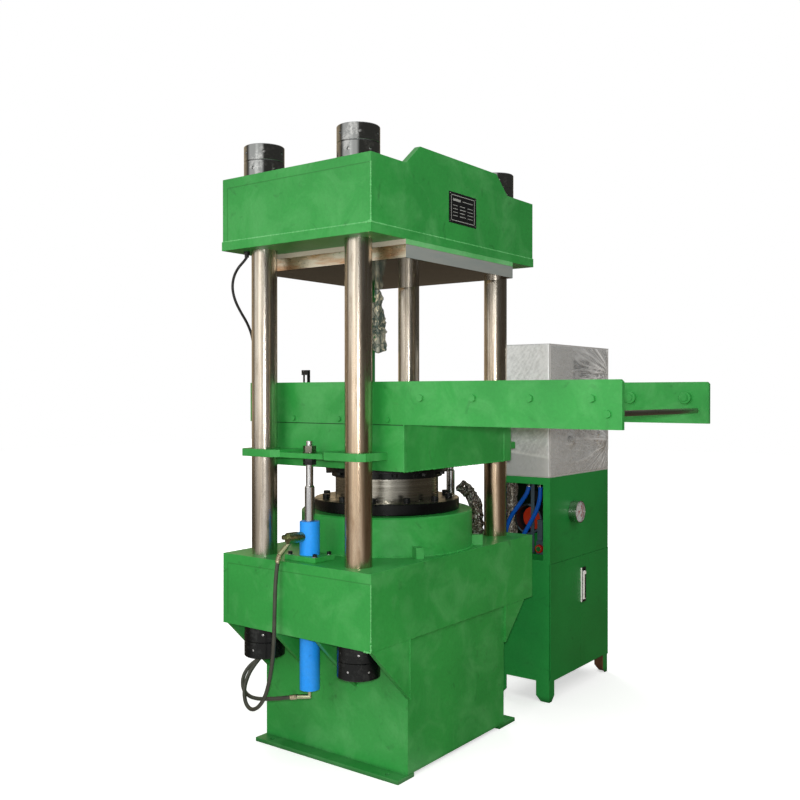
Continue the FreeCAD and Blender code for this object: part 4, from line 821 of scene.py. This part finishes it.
for side in (-1, 1):
    for z in (1230, 1260):
        ear_roots.append([(side * 420, -327, z), (side * 420, -113, z)])
        ear_roots.append([(side * 420, 113, z), (side * 420, 327, z)])
weld_run("ear_welds", ear_roots, 3.0, 10, body="platen")


def seam_boxes(name, boxes, material, body=FRAME_BODY):
    bm = bmesh.new()
    for low, high in boxes:
        add_box(bm, [c * MM for c in low], [c * MM for c in high])
    return bmesh_piece(bm, name, material, body)


# darker raised strips on the beams' side faces: painted shade of the shallow weld seams
SEAM_W = 4.0
SEAM_OUT = 0.5
seams = []
for side in (1, -1):
    x0, x1 = sorted((side * LEFT, side * (LEFT - SEAM_OUT)))
    for top, bottom in ((UPPER_TOP, LIP_Z + 4), (LOWER_TOP, 580)):
        seams.append(((x0, -388, top - 40), (x1, 362, top - 40 + SEAM_W)))
        seams.append(((x0, 360, bottom), (x1, 360 + SEAM_W, top - 40)))
seam_boxes("beam_seam_painted_shade", seams, SEAM_SHADE_GREEN)
# a dark strip along each rail's foot: painted shadow in the joint with the platen box
rail_joint_shadow = [((-420.4, -402, 1362.5), (-419.8, 405, 1366)), ((419.8, -402, 1362.5), (420.4, 405, 1366))]
seam_boxes("rail_joint_painted_shadow", rail_joint_shadow, SHADOW_GREEN, "platen")

# ---- small hardware -----------------------------------------------------------------
NUT_R = 83
NUT_H = 65
NUT_ROWS = ((UPPER_TOP, 12), (UPPER_TOP + NUT_H, 43), (LOWER_BOTTOM - NUT_H, 40),
            (LOWER_BOTTOM - 2 * NUT_H, 9))
CORNERS = [(x, y) for x in (-1, 1) for y in (-1, 1)]
SCREW = [(0, 5.4), (9, 5.4), (9.6, 4.6), (9.6, 2.4), (7, 2.0)]
WASHER = [(0, 9.2), (0, 13), (2, 13), (2, 9.2)]
screws = []
for sx, sy in CORNERS:
    for level, first_turn in NUT_ROWS:
        for k in range(6):
            turn = radians(first_turn + 60 * k)
            out = Vector((cos(turn), sin(turn), 0))
            start = Vector((sx * 500, sy * 250, level + NUT_H / 2)) + out * (NUT_R - 12)
            screws.append((start, out, SCREW))
turned_piece("nut_set_screws", screws, CHROME, segments=10)

washers = []
for side in (-1, 1):
    for sx, sy in CORNERS:
        washers.append(((side * 500 + sx * 42, sy * 65, 848), Z, WASHER))
turned_piece("flange_washers", washers, CHROME, segments=20)


def sleeve(start, following, radius, length):
    """A crimped hose sleeve from a route's end, as (start, direction, profile)."""
    start = Vector(start)
    profile = [(0, 0.75 * radius), (2, radius)]
    for k in range(3):
        groove = length * (0.3 + 0.2 * k)
        profile += [(groove - 2, radius), (groove, 0.9 * radius), (groove + 2, radius)]
    profile += [(length - 1.5, radius), (length, 0.9 * radius)]
    return start, Vector(following) - start, profile


for name, routes, radius, length, material in (
        ("hose_sleeves", (UPPER_HOSE, LOWER_HOSE), 10.5, 34, SLEEVE),
        ("unit_hose_collars", (SUPPLY_HOSE, RETURN_HOSE), 13.5, 26, CHROME)):
    ends = []
    for route in routes:
        ends.append(sleeve(route[0], route[1], radius, length))
        ends.append(sleeve(route[-1], route[-2], radius, length))
    turned_piece(name, ends, material, segments=20)

# blank nameplate: a border and plain rules in bare metal on its black face
PLATE_X = 7
PLATE_Z = 2242
rules = [((-88, 50), (88, 53)), ((-88, -53), (88, -50)), ((-88, -53), (-85, 53)), ((85, -53), (88, 53)),
         ((-74, 28), (-18, 38)), ((-4, 31), (74, 34))]
for k in range(4):
    rules.append(((-74, 9 - 14 * k), (-40, 11.5 - 14 * k)))
    rules.append(((-24, 9 - 14 * k), (14 + 6 * (k % 2), 12 - 14 * k)))
    rules.append(((34, 9 - 14 * k), (74, 11.5 - 14 * k)))
plate_boxes = []
for (x0, z0), (x1, z1) in rules:
    plate_boxes.append(((PLATE_X + x0, -392.4, PLATE_Z + z0), (PLATE_X + x1, -391.9, PLATE_Z + z1)))
seam_boxes("nameplate_rules", plate_boxes, ETCHED)

# ---- gauge dial ---------------------------------------------------------------------
GAUGE = Vector((1010, -424, 897))
DIAL_R = 49.6
DIAL_START = 225
DIAL_SWEEP = 270


def dial_number(bm, text, centre, size):
    """Plain upright numbers facing -Y."""
    curve = bpy.data.curves.new("number", "FONT")
    curve.body = text
    curve.size = size
    curve.align_x = "CENTER"
    curve.align_y = "CENTER"
    curve.extrude = 0.1 * MM
    mesh = evaluated_mesh("number", linked("number", curve))
    mesh.transform(Matrix.Translation(centre * MM) @ Matrix.Rotation(pi / 2, 4, "X"))
    bm.from_mesh(mesh)
    bpy.data.meshes.remove(mesh)


def dial_bar(bm, degrees, inner, outer, width):
    """A tick of the dial in mm, from one radius to another, as a thin raised bar."""
    turn = radians(degrees)
    out = Vector((cos(turn), 0, sin(turn)))
    side = Vector((-out.z, 0, out.x)) * width / 2
    corners = []
    for depth in (0.1, -0.25):
        for reach, sign in ((inner, 1), (inner, -1), (outer, -1), (outer, 1)):
            corners.append(bm.verts.new((GAUGE + out * reach + side * sign + Vector((0, depth, 0))) * MM))
    for ring in ((0, 1, 2, 3), (7, 6, 5, 4), (0, 4, 5, 1), (1, 5, 6, 2), (2, 6, 7, 3), (3, 7, 4, 0)):
        bm.faces.new([corners[k] for k in ring])


card = bmesh.new()
add_turned(card, GAUGE + Vector((0, 0.2, 0)), (0, -1, 0), [(0, DIAL_R), (0.25, DIAL_R)], 48)
bmesh_piece(card, "gauge_card", DIAL)
marks = bmesh.new()
for k in range(21):
    major = k % 5 == 0
    dial_bar(marks, DIAL_START - DIAL_SWEEP * k / 20, 37 if major else 40, 46, 2.0 if major else 1.0)
for k in range(5):
    turn = radians(DIAL_START - DIAL_SWEEP * k / 4)
    centre = GAUGE + Vector((cos(turn), 0, sin(turn))) * 29 - Vector((0, 0.2, 0))
    dial_number(marks, str(10 * k), centre, 10 * MM)
bmesh_piece(marks, "gauge_marks", BLACK_PLASTIC)
zone = bmesh.new()
for k in range(18):
    dial_bar(zone, 42 - 87 * k / 17, 34, 47, 4.6)
bmesh_piece(zone, "gauge_red_zone", RED_PLASTIC)

# ---- screen glass, stop ring and painted shade of the latch recess ------------------
seam_boxes("screen_glass_panel", [((1026, -400.5, 1508), (1193, -398.5, 1640))], SCREEN,
           "cabinet_door_body")
stop_ring = [(0, 19.5), (0, 29), (2.4, 29), (3.2, 27.5), (3.2, 19.5)]
turned_piece("stop_ring", [((1307, -394, 1244), (0, -1, 0), stop_ring)], YELLOW_PLASTIC,
             "cabinet_door_body", 40)
# a black strip on the lever's right half: painted shade of the lock's recess
seam_boxes("latch_recess_painted_shade", [((1112.5, -409, 446), (1121.3, -402.6, 568))], BLACK_PLASTIC,
           "latch")


# ---- motor fins, knob flutes and cap ------------------------------------------------
def ribs(name, middle_mm, values, material, slot, body=FRAME_BODY):
    """A ring of ribs about a line along X."""
    mesh = grown(name, bpy.data.meshes.new(name), rib_tree(material), values)
    mesh.transform(Matrix.Translation(Vector(middle_mm) * MM) @ Matrix.Rotation(pi / 2, 4, "Y"))
    return new_object(name, mesh, body)


ribs("motor_fins", (1043, -228, 862),
     {"Count": 30, "Radius": 78 * MM, "Height": 10 * MM, "Thickness": 2.6 * MM, "Length": 184 * MM},
     MOTOR, "motor_paint")
ribs("knob_flutes", (796, -320, 730),
     {"Count": 14, "Radius": 18.6 * MM, "Height": 3 * MM, "Thickness": 3.6 * MM, "Length": 16 * MM},
     RED_PLASTIC, "red_plastic", "knob")
knob_cap = [(0, 13), (1.2, 13), (2.2, 9), (2.4, 0)]
turned_piece("knob_cap", [((786.2, -320, 730), (-1, 0, 0), knob_cap)], CHROME, "knob", 28)

# ---- stretch film on the cabinet ----------------------------------------------------
FILM_STEP = 5.0


def film(name, corner_mm, across, across_mm, up_mm, outward, shape, body=FRAME_BODY):
    """A thin wrinkled sheet of film over a flat face; shape(u, v) gives how far it stands off the face in mm
    and how white it is there, from its folds and haze and, where the shape paints one, a painted reflection."""
    columns = round(across_mm / FILM_STEP)
    rows = round(up_mm / FILM_STEP)
    across = Vector(across)
    outward = Vector(outward)
    corner_place = Vector(corner_mm)
    points = []
    folds = []
    for j in range(rows + 1):
        for i in range(columns + 1):
            u = across_mm * i / columns
            v = up_mm * j / rows
            height, fold = shape(u, v)
            points.append((corner_place + across * u + Z * v + outward * height) * MM)
            folds.append(min(1.0, max(0.0, fold)))
    faces = []
    for j in range(rows):
        for i in range(columns):
            first = j * (columns + 1) + i
            ring = (first, first + 1, first + columns + 2, first + columns + 1)
            faces.append(ring if across.cross(Z).dot(outward) > 0 else ring[::-1])
    mesh = bpy.data.meshes.new(name)
    mesh.from_pydata(points, [], faces)
    mesh.attributes.new("fold", "FLOAT", "POINT").data.foreach_set("value", folds)
    mesh.shade_smooth()
    holder = linked("holder", mesh)
    wall = holder.modifiers.new("wall", "SOLIDIFY")
    wall.thickness = 0.3 * MM
    wall.offset = 0
    mesh = evaluated_mesh(name, holder)
    use_material(mesh, FILM)
    return new_object(name, mesh, body)


def ridge(x, y, seed, sharp=4.0):
    """Sharp crests between 0 and 1, about one unit apart."""
    return max(0.0, 1 - sharp * abs(noise.noise(Vector((x, y, seed)))))


FILM_X0 = 772
FILM_Z0 = 1088
STOP = (1307, 1244)
SELECTOR = (964, 1258)


def front_film(u, v):
    x = FILM_X0 + u
    z = FILM_Z0 + v
    edge = min(u, v, 640 - u, 628 - v, 60) / 60
    height = 1.5 + 6.5 * edge
    for (px, pz), reach, width in ((STOP, 30, 55), (SELECTOR, 24, 40)):
        r = hypot(x - px, z - pz)
        height = max(height, 4 + reach * exp(-(r / width) ** 2)) if r < 2 * width else height
    strands = 0.0
    for (px, pz), count, far in (((1432, 1590), 9, 290), ((1440, 1250), 8, 260)):
        r = hypot(x - px, z - pz)
        angle = atan2(z - pz, x - px)
        pull = exp(-r / far)
        strands = max(strands, pull * ridge(angle * count, r / 400, 3.0 + px, 5.0))
        strands = max(strands, 0.8 * pull * ridge(angle * 2.4 * count, r / 250, 9.0 + px, 5.0))
    fine = ridge((x * 0.35 + z) / 16, (x - z * 0.35) / 130, 5.0)
    haze_and_painted_sheen = 0.06 + 0.06 * noise.noise(Vector((x / 120, z / 120, 4.0)))
    return height + edge * (4.0 * strands + 0.7 * fine), haze_and_painted_sheen + 1.8 * strands + 0.14 * fine


def left_film(u, v):
    edge = min(u, v, 306 - u, 640 - v, 40) / 40
    first = ridge((u + v * 0.55) / 22, (v - u * 0.55) / 90, 2.0)
    second = ridge((u - v * 0.8) / 15, (v + u * 0.8) / 70, 8.0)
    third = ridge((u * 0.4 + v) / 12, (u - v * 0.4) / 60, 5.0)
    hem = 1 / (1 + exp(-(v - 96 - 0.1 * u) / 4))
    height = 1.6 + edge * (0.9 * first + 0.6 * second) + 2.4 * hem
    # whiter high up, a painted reflection of the window; whiter also near the front corner and along the hem
    high = 1 / (1 + exp(-(v - 380) / 60))
    near = exp(-u / 30)
    band = exp(-((v - 96 - 0.1 * u) / 7) ** 2)
    haze_and_painted_sheen = 0.56 + 0.24 * high + 0.2 * near + 0.3 * band
    return height, haze_and_painted_sheen + hem * (0.14 * first + 0.12 * second + 0.1 * third)


film("door_film", (FILM_X0, -394, FILM_Z0), (1, 0, 0), 640, 628, (0, -1, 0), front_film, "cabinet_door_body")
film("side_film", (766, -389, 1082), (0, 1, 0), 306, 640, (-1, 0, 0), left_film)


# ---- floor, light -------------------------------------------------------------------
def stage_lamp(name, place, aim, size, watts, mirrored=False):
    data = bpy.data.lights.new(name, "AREA")
    data.shape = "RECTANGLE"
    data.size, data.size_y = size
    data.energy = watts
    lamp = linked(name, data)
    lamp.location = place
    lamp.rotation_euler = (Vector(aim) - Vector(place)).to_track_quat("-Z", "Y").to_euler()
    lamp.visible_camera = False
    lamp.visible_glossy = mirrored


def studio():
    """White behind the object and soft grey light on it.  Bright metal mirrors a pale window wall at -X, a
    white ceiling and a dim warm room elsewhere."""
    world = bpy.data.worlds.new("studio")
    bpy.context.scene.world = world
    world.use_nodes = True
    world.node_tree.nodes.clear()
    put = partial(add, world.node_tree)
    direction = put("TexCoord").outputs["Generated"]
    parts = put("SeparateXYZ", {0: direction})
    patches = []
    for towards, first, last, outside, within in (((-0.99, 0.13, 0.0), 0.6, 0.78, 0.0, 1.0),
                                                  ((-0.999, -0.035, 0.0), 0.955, 0.985, 1.0, 2.2),
                                                  ((0.42, 0.91, 0.0), 0.55, 0.85, 0.0, 1.0)):
        along = put("VectorMath", {0: direction, 1: towards}, operation="DOT_PRODUCT")
        patches.append(put("MapRange", {0: along, 1: first, 2: last, 3: outside, 4: within}))
    window, hot, back = patches
    ceiling = put("MapRange", {0: parts.outputs[2], 1: 0.5, 2: 0.9})
    room = put("Mix", {0: back, 6: "#4A4843", 7: "#BDAA8E"})
    walled = put("Mix", {0: window, 6: room, 7: "#FFFBF4"})
    mirrored = put("Mix", {0: ceiling, 6: walled, 7: "#F4F2EE"})
    lit = put("VectorMath", {0: mirrored, "Scale": hot}, operation="SCALE")
    overhead = put("MapRange", {0: parts.outputs[2], 3: 0.5, 4: 0.64})
    path = put("LightPath")
    shiny = put("Math", {0: path.outputs["Is Glossy Ray"], 1: path.outputs["Is Transmission Ray"]},
                operation="MAXIMUM")
    soft = put("Mix", {0: shiny, 6: overhead, 7: lit})
    seen = put("Mix", {0: path.outputs["Is Camera Ray"], 6: soft, 7: "#FFFFFF"})
    background = put("Background", {"Color": seen})
    put("OutputWorld", {"Surface": background})


@finish
def floor_white(put, place):
    """Pale seamless floor that keeps the shadows.  Seen directly it is white; it throws back and mirrors only
    the dim warm tone of a workshop floor."""
    path = put("LightPath")
    seen = path.outputs["Is Camera Ray"]
    reach = put("VectorMath", {0: place}, operation="LENGTH")
    far = put("MapRange", {0: reach, 1: 1.6, 2: 5.0, 3: 0.48, 4: 0.85})
    lift = put("Math", {0: seen, 1: far}, operation="MULTIPLY")
    shiny = path.outputs["Is Glossy Ray"]
    course = put("VectorMath", {0: place}, operation="NORMALIZE")
    to_sunny = put("VectorMath", {0: course, 1: (-0.93, -0.37, 0.0)}, operation="DOT_PRODUCT")
    sunny = put("MapRange", {0: to_sunny, 1: 0.4, 2: 0.8, 4: 0.55})
    mirrored = put("Math", {0: shiny, 1: sunny}, operation="MULTIPLY")
    glow = put("Math", {0: lift, 1: mirrored}, operation="ADD")
    thrown = put("Mix", {0: shiny, 6: "#8F7657", 7: "#62584A"})
    tone = put("Mix", {0: seen, 6: thrown, 7: "#E9E9E7"})
    return {"Base Color": tone, "Roughness": 0.9, "Specular IOR Level": 0.0, "Emission Color": "#FFFFFF",
            "Emission Strength": glow}


HALF_FLOOR = 20.0
floor = bpy.data.meshes.new("studio_floor")
corners = [(x * HALF_FLOOR, y * HALF_FLOOR, 0) for x, y in ((-1, -1), (1, -1), (1, 1), (-1, 1))]
floor.from_pydata(corners, [], [(0, 1, 2, 3)])
use_material(floor, floor_white("studio_floor"))
linked("studio_floor", floor)
studio()
flash_place = Vector(CAMERA_PLACE) + Z * 0.09
stage_lamp("flash", flash_place, (0.0, 0.0, 1.3), (0.12, 0.12), 58)
stage_lamp("flash_glint", flash_place, (0.0, 0.0, 1.3), (0.12, 0.12), 22, mirrored=True)
stage_lamp("window", (-4.8, 0.4, 2.3), (0, 0, 1.3), (3.0, 3.0), 72)
stage_lamp("front_fill", (-0.4, -3.4, 4.0), (0, -0.4, 2.0), (2.0, 2.0), 30)
stage_lamp("back_fill", (3.6, 3.4, 3.0), (0.4, 0, 1.2), (2.5, 2.5), 80)

bpy.context.scene.view_settings.view_transform = "Standard"
